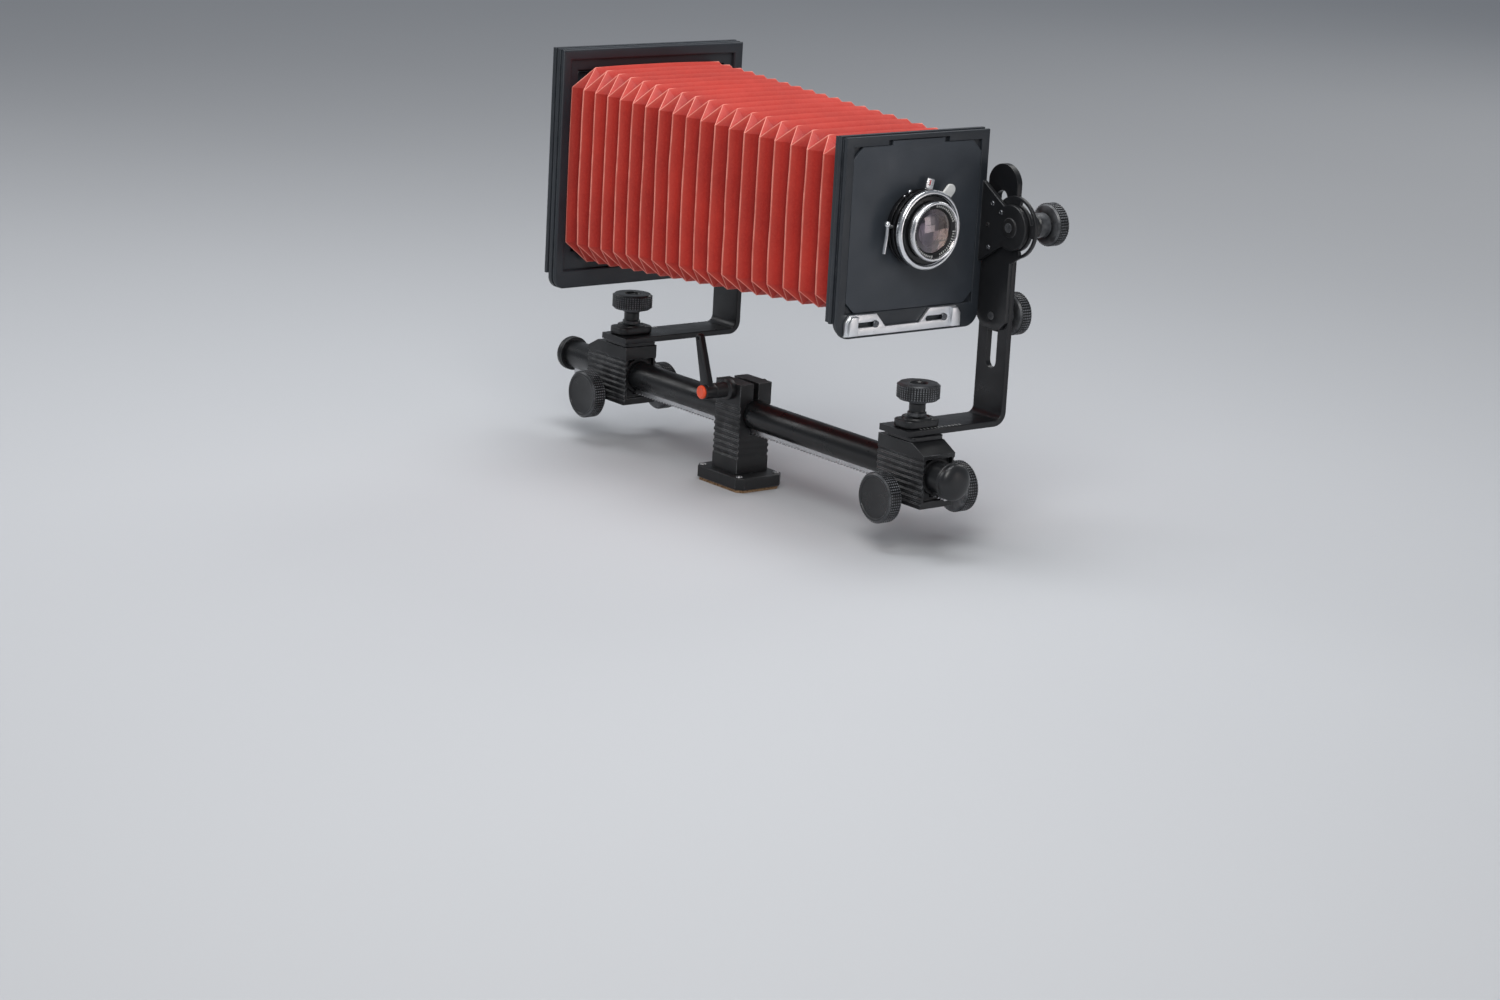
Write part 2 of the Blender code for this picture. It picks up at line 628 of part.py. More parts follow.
def rise_carrier(name, swing_y, outward, inner_x):
    """The plate that slides on the upright, with the round tilt head and its two arc slots."""
    tilt_y = swing_y + TILT_OFFSET * outward
    middle_y = swing_y + STRAP_OFFSET * outward
    far = (middle_y - swing_y) * outward + STRAP_WIDTH / 2
    near = far - STRAP_WIDTH
    foot = -RISE_BOLT_DROP - 12 * MM
    head = CARRIER_HEAD_RADIUS
    centre = TILT_OFFSET
    outline = [(near + 8 * MM, foot), (far - 8 * MM, foot), (far, foot + 9 * MM), (far, -6 * MM)]
    outline += arc((centre, 0), head, 20, 250, 22)
    outline += [(near, -head - 6 * MM), (near, foot + 9 * MM)]
    loops = [outline, circle((centre, 0), TILT_BOLT_RADIUS + GAP)]
    loops.append(circle((far - STRAP_WIDTH / 2, -RISE_BOLT_DROP), RISE_BOLT_RADIUS + GAP))
    for first, last in ((105, 165), (195, 250)):
        inner = arc((centre, 0), 24 * MM, first, last, 8)
        outer = arc((centre, 0), 28 * MM, last, first, 8)
        loops.append(inner + outer)
    placed = [[(swing_y + y * outward, TILT_Z + z) for y, z in loop] for loop in loops]
    obj = prism(name, placed, "X", inner_x, inner_x + CARRIER_THICK)
    half = SLOT_WIDTH / 2 - GAP
    key_z = TILT_Z - RISE_BOLT_DROP
    key = [rectangle(half, 15 * MM, (middle_y, key_z))]
    key.append(circle((middle_y, key_z), RISE_BOLT_RADIUS + GAP))
    start = inner_x + CARRIER_THICK - 0.6 * MM
    cut(obj, prism(f"{name}_key", key, "X", start, inner_x + CARRIER_THICK + STRAP_THICK), "UNION")
    return pivot(keep(obj, moulded()), (inner_x, tilt_y, TILT_Z))


def rise_knob(name, y, upright_x):
    """The rise lock: knob, short hub and bolt through the upright's slot and the carrier."""
    base = upright_x + STRAP_THICK + 12 * MM
    hub_end = upright_x + STRAP_THICK + 0.6 * MM - base
    bolt_end = upright_x - CARRIER_THICK - GAP - base
    profile = knob_head(KNOB_RADIUS, 15 * MM)
    profile += [(STEM_RADIUS, 0), (STEM_RADIUS, hub_end), (RISE_BOLT_RADIUS, hub_end)]
    profile += [(RISE_BOLT_RADIUS, bolt_end), (0, bolt_end)]
    return keep(turned(name, profile, "X", (base, y, TILT_Z - RISE_BOLT_DROP)), moulded())


def tilt_knob(name, y, upright_x):
    """The tilt lock: knob on its long hub, with the bolt that the frame tilts about."""
    base = upright_x + STRAP_THICK + 31 * MM
    hub_end = upright_x + STRAP_THICK + GAP - base
    head_start = upright_x - CARRIER_THICK - 6.6 * MM - base
    bolt = TILT_BOLT_RADIUS
    waist = hub_end + 16 * MM
    profile = knob_head(KNOB_RADIUS, 14 * MM)
    profile += [(HUB_RADIUS, 0), (HUB_RADIUS, waist), (HUB_RADIUS - 1.2 * MM, waist - 1.2 * MM)]
    profile += [(HUB_RADIUS - 1.2 * MM, hub_end), (bolt, hub_end), (bolt, head_start)]
    profile += [(4.6 * MM, head_start), (4.6 * MM, head_start - 2.4 * MM), (0, head_start - 2.4 * MM)]
    return keep(turned(name, profile, "X", (base, y, TILT_Z)), moulded())


# ---------------------------------------------------------------- standards


def frame_outline(half, foot, radius):
    """Square top corners and round bottom corners, down to the bottom bar."""
    left = arc((-half + radius, TILT_Z - foot + radius), radius, 180, 270, 5)
    right = arc((half - radius, TILT_Z - foot + radius), radius, 270, 360, 5)
    return left + right + [(half, TILT_Z + half), (-half, TILT_Z + half)]


def standard_frame(name, half, foot, radius, face_y, recess, ledge):
    """A moulded frame in three layers: a lipped face with the bottom bar, a narrower waist, a square flange.

    The layers run from the lipped face towards +Y. recess is the outline of the pocket inside the lip, and
    ledge the half size of the light opening behind it.
    """
    lip = face_y + LIP_DEPTH
    waist = face_y + 9 * MM
    overlap = 0.6 * MM
    front = [frame_outline(half - 0.6 * MM, foot, radius), recess]
    obj = prism(name, front, "Y", face_y, lip)
    middle = [frame_outline(half - 2.6 * MM, foot - 1.2 * MM, radius), rectangle(ledge, ledge, (0, TILT_Z))]
    cut(obj, prism(f"{name}_waist", middle, "Y", lip - overlap, waist), "UNION")
    square = [rectangle(half, half, (0, TILT_Z)), rectangle(ledge - 3 * MM, ledge - 3 * MM, (0, TILT_Z))]
    cut(obj, prism(f"{name}_flange", square, "Y", waist - overlap, face_y + FRAME_DEPTH), "UNION")
    return obj


def tilt_arm(name, half, face_y, tilt_y):
    """The triangular cheek that reaches from the frame's side to the tilt bolt."""
    sign = 1 if face_y > tilt_y else -1
    root = abs(face_y - tilt_y) + 9.5 * MM
    spread = 46 * MM
    lean = 62
    outline = [(root, spread)] + arc((0, 0), ARM_HEAD_RADIUS, lean, 360 - lean, 14) + [(root, -spread)]
    loops = [outline, circle((0, 0), TILT_BOLT_RADIUS + GAP)]
    placed = [[(tilt_y + y * sign, TILT_Z + z) for y, z in loop] for loop in loops]
    return prism(name, placed, "X", half - 5.6 * MM, half - 0.2 * MM)


def front_frame():
    opening = BOARD_HALF + GAP
    notch = 39 * MM
    high = TILT_Z + opening
    recess = rectangle(opening, opening, (0, TILT_Z))
    recess = recess[:3] + [(notch, high), (notch, high + 5 * MM), (-notch, high + 5 * MM), (-notch, high), recess[3]]
    ledge = BOARD_HALF - 8 * MM
    obj = standard_frame("front_frame", FRONT_HALF, FRONT_FOOT, 16 * MM, FRONT_FACE_Y, recess, ledge)
    tilt_y = FRONT_SWING_Y + TILT_OFFSET
    cut(obj, tilt_arm("front_tilt_arm", FRONT_HALF, FRONT_FACE_Y, tilt_y), "UNION")
    for x in LOCK_SCREW_X:
        centre = (x, FRONT_FACE_Y, TILT_Z - 92.5 * MM)
        cut(obj, rod(f"lock_screw_hole{x:.3f}", "Y", centre, 2.3 * MM, -MM, 5 * MM, 12))
    return pivot(keep(obj, moulded()), (0, tilt_y, TILT_Z))


def rear_frame():
    open_face = REAR_FACE_Y + FRAME_DEPTH
    recess = rectangle(106.5 * MM, 110.8 * MM, (0, TILT_Z - 4.2 * MM))
    obj = standard_frame("rear_frame", REAR_HALF, REAR_FOOT, 13 * MM, REAR_FACE_Y, recess, 96 * MM)
    tilt_y = REAR_SWING_Y - TILT_OFFSET
    cut(obj, tilt_arm("rear_tilt_arm", REAR_HALF, open_face, tilt_y), "UNION")
    return pivot(keep(obj, moulded()), (0, tilt_y, TILT_Z))


def board_lock():
    """The sliding chrome bar that holds the lens board's lower edge, with a raised grip at each end."""
    middle = -10 * MM
    low = TILT_Z - 103 * MM
    high = TILT_Z - 82 * MM
    dip = TILT_Z - 95.5 * MM
    half = 73 * MM
    right = [(half, low), (half, high - 7 * MM), (half - 5 * MM, high), (34 * MM, high), (22 * MM, dip)]
    outline = right + [(-x, z) for x, z in reversed(right)]
    outline = [(x + middle, z) for x, z in outline]
    slot_z = TILT_Z - 92.5 * MM
    slots = [stadium((x - 10 * MM, slot_z), 2.4 * MM, 11 * MM, False) for x in LOCK_SCREW_X]
    back = FRONT_FACE_Y - GAP
    obj = prism("board_lock", [outline, *slots], "Y", back, back - 3.4 * MM)
    for side in (-1, 1):
        grip = [(60 * MM, low + MM), (71 * MM, low + MM), (71 * MM, high - 7 * MM), (67 * MM, high - MM)]
        grip.append((60 * MM, high - MM))
        placed = [(x * side + middle, z) for x, z in grip]
        cut(obj, prism(f"board_lock_grip{side}", [placed], "Y", back - 3 * MM, back - 8 * MM), "UNION")
    return keep(obj, chrome())


def lock_screw(name, x):
    """A shoulder screw through the lock bar's slot into the frame."""
    z = TILT_Z - 92.5 * MM
    profile = [(0, 4 * MM), (2 * MM, 4 * MM), (2 * MM, -4 * MM), (3.6 * MM, -4 * MM)]
    profile += [(3 * MM, -5.6 * MM), (0, -5.6 * MM)]
    return keep(turned(name, profile, "Y", (x, FRONT_FACE_Y, z), 16), steel())


def bellows():
    """The pleated tube's envelope: square with cut corners, tapering to the front, open at both ends."""
    front = FRONT_FACE_Y + FRAME_DEPTH + GAP
    rear = REAR_FACE_Y + LIP_DEPTH - MM
    bm = bmesh.new()
    rings = []
    for half, y, z, corner in (
        (BELLOWS_FRONT_HALF, front, TILT_Z, 16 * MM),
        (BELLOWS_REAR_HALF, rear, TILT_Z - BELLOWS_DROP, 22 * MM),
        (BELLOWS_REAR_HALF - BELLOWS_WALL, rear, TILT_Z - BELLOWS_DROP, 20 * MM),
        (BELLOWS_FRONT_HALF - BELLOWS_WALL, front, TILT_Z, 14 * MM),
    ):
        outline = rectangle(half, half, (0, z), corner)
        rings.append([bm.verts.new((x, y, z)) for x, z in outline])
    count = len(rings[0])
    for ring, following in zip(rings, rings[1:] + rings[:1]):
        for i in range(count):
            j = (i + 1) % count
            bm.faces.new((ring[i], ring[j], following[j], following[i]))
    bmesh.ops.recalc_face_normals(bm, faces=bm.faces)
    mesh = bpy.data.meshes.new("bellows")
    bm.to_mesh(mesh)
    bm.free()
    return keep(bpy.data.objects.new("bellows", mesh), red_cloth())


# ---------------------------------------------------------------- lens


def lens_board():
    """The square board with cut corners, a top tongue and the shutter's hole."""
    high = TILT_Z + BOARD_HALF
    outline = rectangle(BOARD_HALF, BOARD_HALF, (0, TILT_Z), BOARD_CUT)
    tongue = [(33 * MM, high), (33 * MM, high + 4.4 * MM), (-33 * MM, high + 4.4 * MM), (-33 * MM, high)]
    outline = outline[:4] + tongue + outline[4:]
    loops = [outline, circle((0, TILT_Z), 21 * MM, 24)]
    start = FRONT_FACE_Y + 0.3 * MM
    return keep(prism("lens_board", loops, "Y", start, start + BOARD_THICK), painted())


def shutter_body():
    """The leaf shutter's drum, with the threaded neck that goes through the board."""
    centre = (0, FRONT_FACE_Y, TILT_Z)
    neck = 20.7 * MM
    bore = LENS_BORE
    profile = [(bore, 9 * MM), (neck, 9 * MM), (neck, 0), (SHUTTER_RADIUS, 0)]
    profile += [(SHUTTER_RADIUS, -18 * MM), (BEZEL_BORE - RING_GAP, -18 * MM), (BEZEL_BORE - RING_GAP, -22.8 * MM)]
    profile += [(bore, -22.8 * MM)]
    return keep(turned("shutter_body", profile, "Y", centre, LARGE_STEPS), painted())


def retaining_ring():
    centre = (0, FRONT_FACE_Y, TILT_Z)
    low = 0.3 * MM + BOARD_THICK + GAP
    return keep(tube("retaining_ring", "Y", centre, 25 * MM, 21 * MM, low, low + 3 * MM, LARGE_STEPS), brass())


def speed_ring():
    """The bright milled bezel that sets the shutter speed."""
    centre = (0, FRONT_FACE_Y, TILT_Z)
    r = BEZEL_RADIUS
    bore = BEZEL_BORE
    profile = [(bore, -18.3 * MM), (r - MM, -18.3 * MM), (r, -19.5 * MM), (r, -23 * MM), (r - 1.6 * MM, -24.6 * MM)]
    profile += [(bore, -24 * MM)]
    return keep(turned("speed_ring", profile, "Y", centre, LARGE_STEPS), chrome())


def control_ring(name, low, high, angle, reach, half_width, material):
    """A ring round the shutter's drum with one finger tab; angle is from straight up towards +X."""
    centre = (0, FRONT_FACE_Y, TILT_Z)
    outer = SHUTTER_RADIUS + 2.2 * MM
    obj = tube(name, "Y", centre, outer, SHUTTER_RADIUS + RING_GAP, low, high, LARGE_STEPS)
    tab = [(-half_width, outer - 0.9 * MM), (half_width, outer - 0.9 * MM)]
    tab += arc((0, reach - half_width * 0.6), half_width, 0, 180, 5)
    turn = Matrix.Rotation(-math.radians(angle), 2)
    placed = [tuple(turn @ Vector(p) + Vector((0, TILT_Z))) for p in tab]
    start = FRONT_FACE_Y + low + 0.4 * MM
    cut(obj, prism(f"{name}_tab", [placed], "Y", start, FRONT_FACE_Y + high - 0.4 * MM), "UNION")
    return keep(obj, material)


def release_lever():
    """The thumb lever on the left with a ball end, hinged beside the drum."""
    x = -43 * MM
    z = TILT_Z + 4 * MM
    y = FRONT_FACE_Y - 11 * MM
    blade = [(x - 2 * MM, z - 26 * MM), (x + MM, z - 26 * MM), (x + 3 * MM, z), (x + 2 * MM, z + 3 * MM)]
    blade += [(x - 2 * MM, z + 3 * MM), (x - 4 * MM, z)]
    obj = prism("release_lever", [blade], "Y", y - 1.4 * MM, y + 1.4 * MM)
    ball = [(0, 3.4 * MM), (2.4 * MM, 2.4 * MM), (3.4 * MM, 0), (2.4 * MM, -2.4 * MM), (0, -3.4 * MM)]
    cut(obj, turned("release_ball", ball, "Z", (x - MM, y, z + 3 * MM), 12), "UNION")
    return pivot(keep(obj, chrome()), (x, y, z))


def front_cell():
    """The front lens cell: a cup with a wide rim, screwed into the shutter's drum."""
    centre = (0, FRONT_FACE_Y, TILT_Z)
    r = FRONT_CELL_RADIUS
    thread = LENS_BORE - GAP
    profile = [(16 * MM, -14 * MM), (thread, -14 * MM), (thread, -23.1 * MM), (r - MM, -23.1 * MM)]
    profile += [(r, -24.5 * MM), (r, -32 * MM), (r - 1.2 * MM, -33 * MM), (r - 3 * MM, -33 * MM)]
    profile += [(GLASS_RADIUS + GAP, -28.5 * MM), (GLASS_RADIUS + GAP, -25 * MM), (16 * MM, -25 * MM)]
    return keep(turned("front_lens_cell", profile, "Y", centre, LARGE_STEPS), anodised())


def front_glass():
    centre = (0, FRONT_FACE_Y, TILT_Z)
    r = GLASS_RADIUS
    profile = [(0, -25.3 * MM), (r, -25.3 * MM), (r, -28.2 * MM), (0.7 * r, -29.6 * MM)]
    profile += [(0.35 * r, -30.4 * MM), (0, -30.7 * MM)]
    return keep(turned("front_lens_glass", profile, "Y", centre), glass())


def rear_cell():
    """The rear lens cell behind the board, inside the bellows."""
    centre = (0, FRONT_FACE_Y, TILT_Z)
    thread = LENS_BORE - GAP
    profile = [(17.3 * MM, 27 * MM), (21.5 * MM, 27 * MM), (22.5 * MM, 26 * MM), (22.5 * MM, 10 * MM)]
    profile += [(thread, 9.3 * MM), (thread, -6 * MM), (15 * MM, -6 * MM), (15 * MM, 20 * MM), (17.3 * MM, 20 * MM)]
    return keep(turned("rear_lens_cell", profile, "Y", centre, LARGE_STEPS), anodised())


def rear_glass():
    centre = (0, FRONT_FACE_Y, TILT_Z)
    r = 17 * MM
    profile = [(0, 25.6 * MM), (0.5 * r, 25 * MM), (r, 23.4 * MM), (r, 20.3 * MM), (0, 20.3 * MM)]
    return keep(turned("rear_lens_glass", profile, "Y", centre), glass())


# ---------------------------------------------------------------- focusing back


def back_plate():
    """The back's fixed frame, clipped on the rear standard."""
    start = REAR_FACE_Y + FRAME_DEPTH - 4 * MM
    outline = rectangle(BACK_HALF, BACK_HALF, (0, TILT_Z), 6 * MM)
    hole = rectangle(63.5 * MM, 51 * MM, (0, TILT_Z))
    obj = prism("back_plate", [outline, hole], "Y", start, start + BACK_THICK)
    face = start + BACK_THICK
    for side in (-1, 1):
        x = sorted((side * 87 * MM, side * 90.5 * MM))
        z = (BAIL_HINGE_Z - 4.5 * MM, BAIL_HINGE_Z + 4.5 * MM)
        cut(obj, box(f"bail_lug{side}", x, (face - MM, BAIL_HINGE_Y + 4.5 * MM), z), "UNION")
        pin = (x[0] - MM, x[1] + MM)
        centre = (0, BAIL_HINGE_Y, BAIL_HINGE_Z)
        cut(obj, rod(f"bail_lug_hole{side}", "X", centre, BAIL_RADIUS + GAP, *pin, 12))
    return keep(obj, painted())


def spring_back():
    """The sprung frame round the focusing screen, pulled back to let a film holder in."""
    start = REAR_FACE_Y + FRAME_DEPTH - 4 * MM + BACK_THICK + GAP
    outline = rectangle(SPRING_HALF_X, SPRING_HALF_Z, (0, TILT_Z), 5 * MM)
    hole = rectangle(WINDOW_HALF_X, WINDOW_HALF_Z, (0, TILT_Z))
    return keep(prism("spring_back", [outline, hole], "Y", start, start + SPRING_THICK), painted())


def ground_glass():
    """The focusing screen, with cut corners to let air out of the bellows."""
    start = REAR_FACE_Y + FRAME_DEPTH + BACK_THICK - 2 * MM
    half_x = WINDOW_HALF_X - GAP
    half_z = WINDOW_HALF_Z - GAP
    outline = rectangle(half_x, half_z, (0, TILT_Z), 9 * MM)
    return keep(prism("ground_glass", [outline], "Y", start, start + 2.5 * MM), frosted())


def bail(name, side):
    """A bent chrome rod beside the screen that levers the sprung frame open."""
    x = side * (SPRING_HALF_X + 4.5 * MM)
    path = [(7, 0, 0), (0, 0, 0), (0, 4, 9), (0, 4, 22), (0, 6, 40), (0, 11, 55), (0, 12, 68), (0, 10, 82)]
    path.append((0, 14, 92))
    curve = bpy.data.curves.new(name, "CURVE")
    curve.dimensions = "3D"
    curve.bevel_depth = BAIL_RADIUS
    curve.bevel_resolution = 1
    curve.use_fill_caps = True
    spline = curve.splines.new("POLY")
    spline.points.add(len(path) - 1)
    for point, (out, y, z) in zip(spline.points, path):
        point.co = (x + side * out * MM, BAIL_HINGE_Y + y * MM, BAIL_HINGE_Z + z * MM, 1)
    obj = as_mesh(name, curve, Matrix.Identity(4))
    return pivot(keep(obj, chrome()), (x, BAIL_HINGE_Y, BAIL_HINGE_Z))


# ---------------------------------------------------------------- assembly


def build_base():
    clamp_body()
    clamp_base()
    base_pad()
    for bush in BUSHES:
        tripod_bush(*bush)
    clamp_lever()
    lever_cap()


def build_rail():
    rail_tube()
    focus_rack()
    rail_cap("rail_cap_front", RAIL_FRONT, -1)
    rail_cap("rail_cap_rear", RAIL_REAR, 1)


def build_bearer(end, swing_y, block_front, slope_front, pinion_y):
    bearer(f"{end}_bearer", block_front, slope_front, pinion_y)
    sleeve(f"{end}_bearer_sleeve", block_front, pinion_y)
    pinion_shaft(f"{end}_pinion_shaft", pinion_y)
    focus_knob(f"{end}_focus_knob_left", pinion_y, LEFT_KNOB_X, -1)
    focus_knob(f"{end}_focus_knob_right", pinion_y, RIGHT_KNOB_X, 1)
    swing_plate(f"{end}_swing_plate", swing_y)
    swing_saddle(f"{end}_swing_saddle", swing_y)
    swing_knob(f"{end}_swing_knob", swing_y)


def build_bracket(end, swing_y, outward, half):
    """outward is +1 where the tilt bolt is on the strap's -Y side, and -1 on its +Y side."""
    carrier_x = half + 0.5 * MM
    upright_x = carrier_x + CARRIER_THICK + GAP
    bracket(f"{end}_bracket", swing_y, outward, upright_x)
    rise_carrier(f"{end}_rise_carrier", swing_y, outward, carrier_x)
    rise_knob(f"{end}_rise_knob", swing_y + STRAP_OFFSET * outward, upright_x)
    tilt_knob(f"{end}_tilt_knob", swing_y + TILT_OFFSET * outward, upright_x)


def build_lens():
    lens_board()
    shutter_body()
    retaining_ring()
    speed_ring()
    control_ring("aperture_ring", -8 * MM, -4.5 * MM, 14, 49 * MM, 4.6 * MM, chrome())
    control_ring("cocking_ring", -14 * MM, -10.5 * MM, 42, 52 * MM, 5.5 * MM, chrome())
    release_lever()
    front_cell()
    front_glass()
    rear_cell()
    rear_glass()


def build_back():
    back_plate()
    spring_back()
    ground_glass()
    bail("bail_left", -1)
    bail("bail_right", 1)


clear_scene()
build_base()
build_rail()
build_bearer("front", FRONT_SWING_Y, FRONT_SWING_Y - 37.5 * MM, True, FRONT_SWING_Y + 2 * MM)
build_bearer("rear", REAR_SWING_Y, REAR_SWING_Y - 20.5 * MM, False, REAR_SWING_Y + 22 * MM)
build_bracket("front", FRONT_SWING_Y, 1, FRONT_HALF)
build_bracket("rear", REAR_SWING_Y, -1, REAR_HALF)
front_frame()
rear_frame()
board_lock()
lock_screw("lock_screw_left", LOCK_SCREW_X[0])
lock_screw("lock_screw_right", LOCK_SCREW_X[1])
build_lens()
bellows()
build_back()
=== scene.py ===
"""Looks of the large format view camera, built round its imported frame.

Every piece is made here at full detail, in the frame of the CAD part: -Y is where the lens looks, +Z is up,
and both brackets rise on the +X side. Shapes are drawn in millimetres, and piece() turns them to metres.
Materials, the floor, the lights and the camera are in metres. Each piece rides on its CAD node's body.
"""

import json
import math

import bmesh
import bpy
from mathutils import Matrix, Vector, noise

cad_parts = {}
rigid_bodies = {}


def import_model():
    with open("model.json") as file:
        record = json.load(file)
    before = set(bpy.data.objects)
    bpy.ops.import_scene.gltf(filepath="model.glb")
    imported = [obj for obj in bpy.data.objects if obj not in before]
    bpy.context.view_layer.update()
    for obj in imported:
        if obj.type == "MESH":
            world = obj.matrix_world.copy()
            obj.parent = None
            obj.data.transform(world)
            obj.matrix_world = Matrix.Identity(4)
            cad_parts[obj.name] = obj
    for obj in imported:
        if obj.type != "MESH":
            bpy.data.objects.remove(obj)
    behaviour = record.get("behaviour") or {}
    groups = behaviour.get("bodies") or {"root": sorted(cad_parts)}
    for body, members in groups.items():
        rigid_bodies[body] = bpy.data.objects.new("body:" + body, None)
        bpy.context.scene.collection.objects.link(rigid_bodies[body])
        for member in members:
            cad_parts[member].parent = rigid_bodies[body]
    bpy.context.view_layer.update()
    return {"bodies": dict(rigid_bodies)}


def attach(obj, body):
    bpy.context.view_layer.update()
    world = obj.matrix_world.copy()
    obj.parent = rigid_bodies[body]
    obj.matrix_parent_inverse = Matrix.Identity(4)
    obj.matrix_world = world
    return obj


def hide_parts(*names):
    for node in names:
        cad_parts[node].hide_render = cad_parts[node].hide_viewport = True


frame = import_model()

UNIT = 0.001  # a millimetre in metres

# Heights and depths shared by several pieces, as the CAD part has them
RAIL_Z = 78
TILT_Z = RAIL_Z + 238
PINION_Z = RAIL_Z - 25
SWING_Y = {"front": -274, "rear": 200}
OUTWARD = {"front": 1, "rear": -1}  # which way the strap lies from its tilt bolt
HALF = {"front": 91.5, "rear": 118.7}
FACE = {"front": -251.8, "rear": 198.6}  # open face of each standard
LIP = {"front": -251.8, "rear": 180}  # lipped face of each standard, with the bottom bar
FOOT = {"front": 106, "rear": 134.5}
BLOCK = {"front": (-311.5, -241.5), "rear": (179.5, 249.5)}
PINION_Y = {"front": -272, "rear": 222}
STRAP_OFFSET = 4
STRAP_WIDTH = 43
STRAP_THICK = 6.4
TILT_OFFSET = -20.8
ARM_BOTTOM = RAIL_Z + 37
UPRIGHT_TOP = RAIL_Z + 297
FRAME_DEPTH = 18.6
LEVER = Vector((0, -4, RAIL_Z + 26))
BUSHES = (("tripod_bush", 14, 8, 4.2), ("tripod_bush_small", -14, 6, 2.8))
LENS = (0, FACE["front"], TILT_Z)  # where the lens's axis meets the front standard's face
BOLT_BORE = 4.3
TILT_BORE = 3.3
KNOB_RADIUS = 21.5
RISE_LOCK_Z = TILT_Z - 93
PINION_RADIUS = 4.75
PINION_TEETH = 6
BELLOWS_PLEATS = 19
HAZE = (0.6, 0.64, 0.7, 1)  # light from all round, and the glow of the far floor
PAD_STEPS = 5  # points round the rim for each pad of a knob's knurling
SHARP = math.radians(38)  # edges sharper than this stay hard


# ---------------------------------------------------------------- materials


class Look:
    """A small builder of node materials, all in object coordinates so that nothing depends on UVs."""

    def __init__(self, name):
        self.material = bpy.data.materials.new(name)
        self.material.use_nodes = True
        self.tree = self.material.node_tree
        self.shader = self.tree.nodes["Principled BSDF"]
        self.place = self.add("ShaderNodeTexCoord").outputs["Object"]

    def fill(self, socket, value):
        """Gives a socket a number, a colour, or a link from another node's socket."""
        if isinstance(value, bpy.types.NodeSocket):
            self.tree.links.new(value, socket)
        elif socket.type == "RGBA" and len(value) == 3:
            socket.default_value = (*value, 1)
        else:
            socket.default_value = value

    def add(self, kind, sockets=None, **settings):
        node = self.tree.nodes.new(kind)
        for key, value in settings.items():
            setattr(node, key, value)
        for key, value in (sockets or {}).items():
            self.fill(node.inputs[key], value)
        return node

    def set(self, **values):
        for key, value in values.items():
            self.fill(self.shader.inputs[key.replace("_", " ")], value)

    def noise(self, scale, detail=3.0, roughness=0.55, stretch=None):
        place = self.place
        if stretch:
            place = self.add("ShaderNodeMapping", {"Vector": place, "Scale": stretch}).outputs["Vector"]
        sockets = {"Vector": place, "Scale": scale, "Detail": detail, "Roughness": roughness}
        return self.add("ShaderNodeTexNoise", sockets).outputs["Fac"]

    def cells(self, scale):
        return self.add("ShaderNodeTexVoronoi", {"Vector": self.place, "Scale": scale}).outputs["Distance"]

    def ramp(self, source, low, high, start=0.0, end=1.0):
        """Maps a value range to an output range, clamped."""
        sockets = {"Value": source, "From Min": start, "From Max": end, "To Min": low, "To Max": high}
        return self.add("ShaderNodeMapRange", sockets).outputs["Result"]

    def mix(self, amount, first, second):
        """Mixes two colours by an amount. Each of the three can be a socket."""
        return self.add("ShaderNodeMix", {0: amount, 6: first, 7: second}, data_type="RGBA").outputs[2]

    def math(self, operation, first, second):
        return self.add("ShaderNodeMath", {0: first, 1: second}, operation=operation).outputs[0]

    def bump(self, height, strength, distance, under=None):
        sockets = {"Height": height, "Strength": strength, "Distance": distance}
        if under:
            sockets["Normal"] = under
        return self.add("ShaderNodeBump", sockets).outputs["Normal"]

    def edges(self, radius):
        """About 1 along sharp edges and 0 on flat faces, with the softened normal."""
        soft = self.add("ShaderNodeBevel", {"Radius": radius}, samples=4).outputs["Normal"]
        plain = self.add("ShaderNodeNewGeometry").outputs["Normal"]
        dot = self.add("ShaderNodeVectorMath", {0: soft, 1: plain}, operation="DOT_PRODUCT")
        return self.ramp(dot.outputs["Value"], 1.0, 0.0, 0.9, 0.997), soft


def black_finish(name, tone, rough, grain, grain_scale, pale_edges, metallic=0.0, radius=0.5 * UNIT):
    """Satin black of any kind: mottled tone, fine grain, dust, and pale sharp edges that are partly rubbed
    wear and partly a painted edge highlight.
    """
    look = Look(name)
    edge, soft = look.edges(radius)
    # Pale sharp edges, uneven by noise: partly rubbed wear, partly a painted highlight for light caught along
    # the edges.
    wear_and_highlight = look.math("MULTIPLY", edge, look.ramp(look.noise(70), 0.0, 1.0, 0.38, 0.62))
    wear_and_highlight = look.math("MULTIPLY", wear_and_highlight, pale_edges)
    dark = [c * 0.75 for c in tone]
    colour = look.mix(look.noise(35, 4), dark, tone)
    dusty = [c * 1.7 + 0.006 for c in tone]
    colour = look.mix(look.ramp(look.noise(9, 2), 0.0, 0.35, 0.45, 0.8), colour, dusty)
    colour = look.mix(wear_and_highlight, colour, (0.26, 0.265, 0.275))
    height = look.cells(grain_scale) if grain_scale > 500 else look.noise(grain_scale, 5)
    look.set(Base_Color=colour, Metallic=metallic)
    look.set(Roughness=look.ramp(look.noise(50, 4), rough - 0.07, rough + 0.09, 0.3, 0.7))
    look.set(Normal=look.bump(height, grain, 0.12 * UNIT, soft))
    return look.material


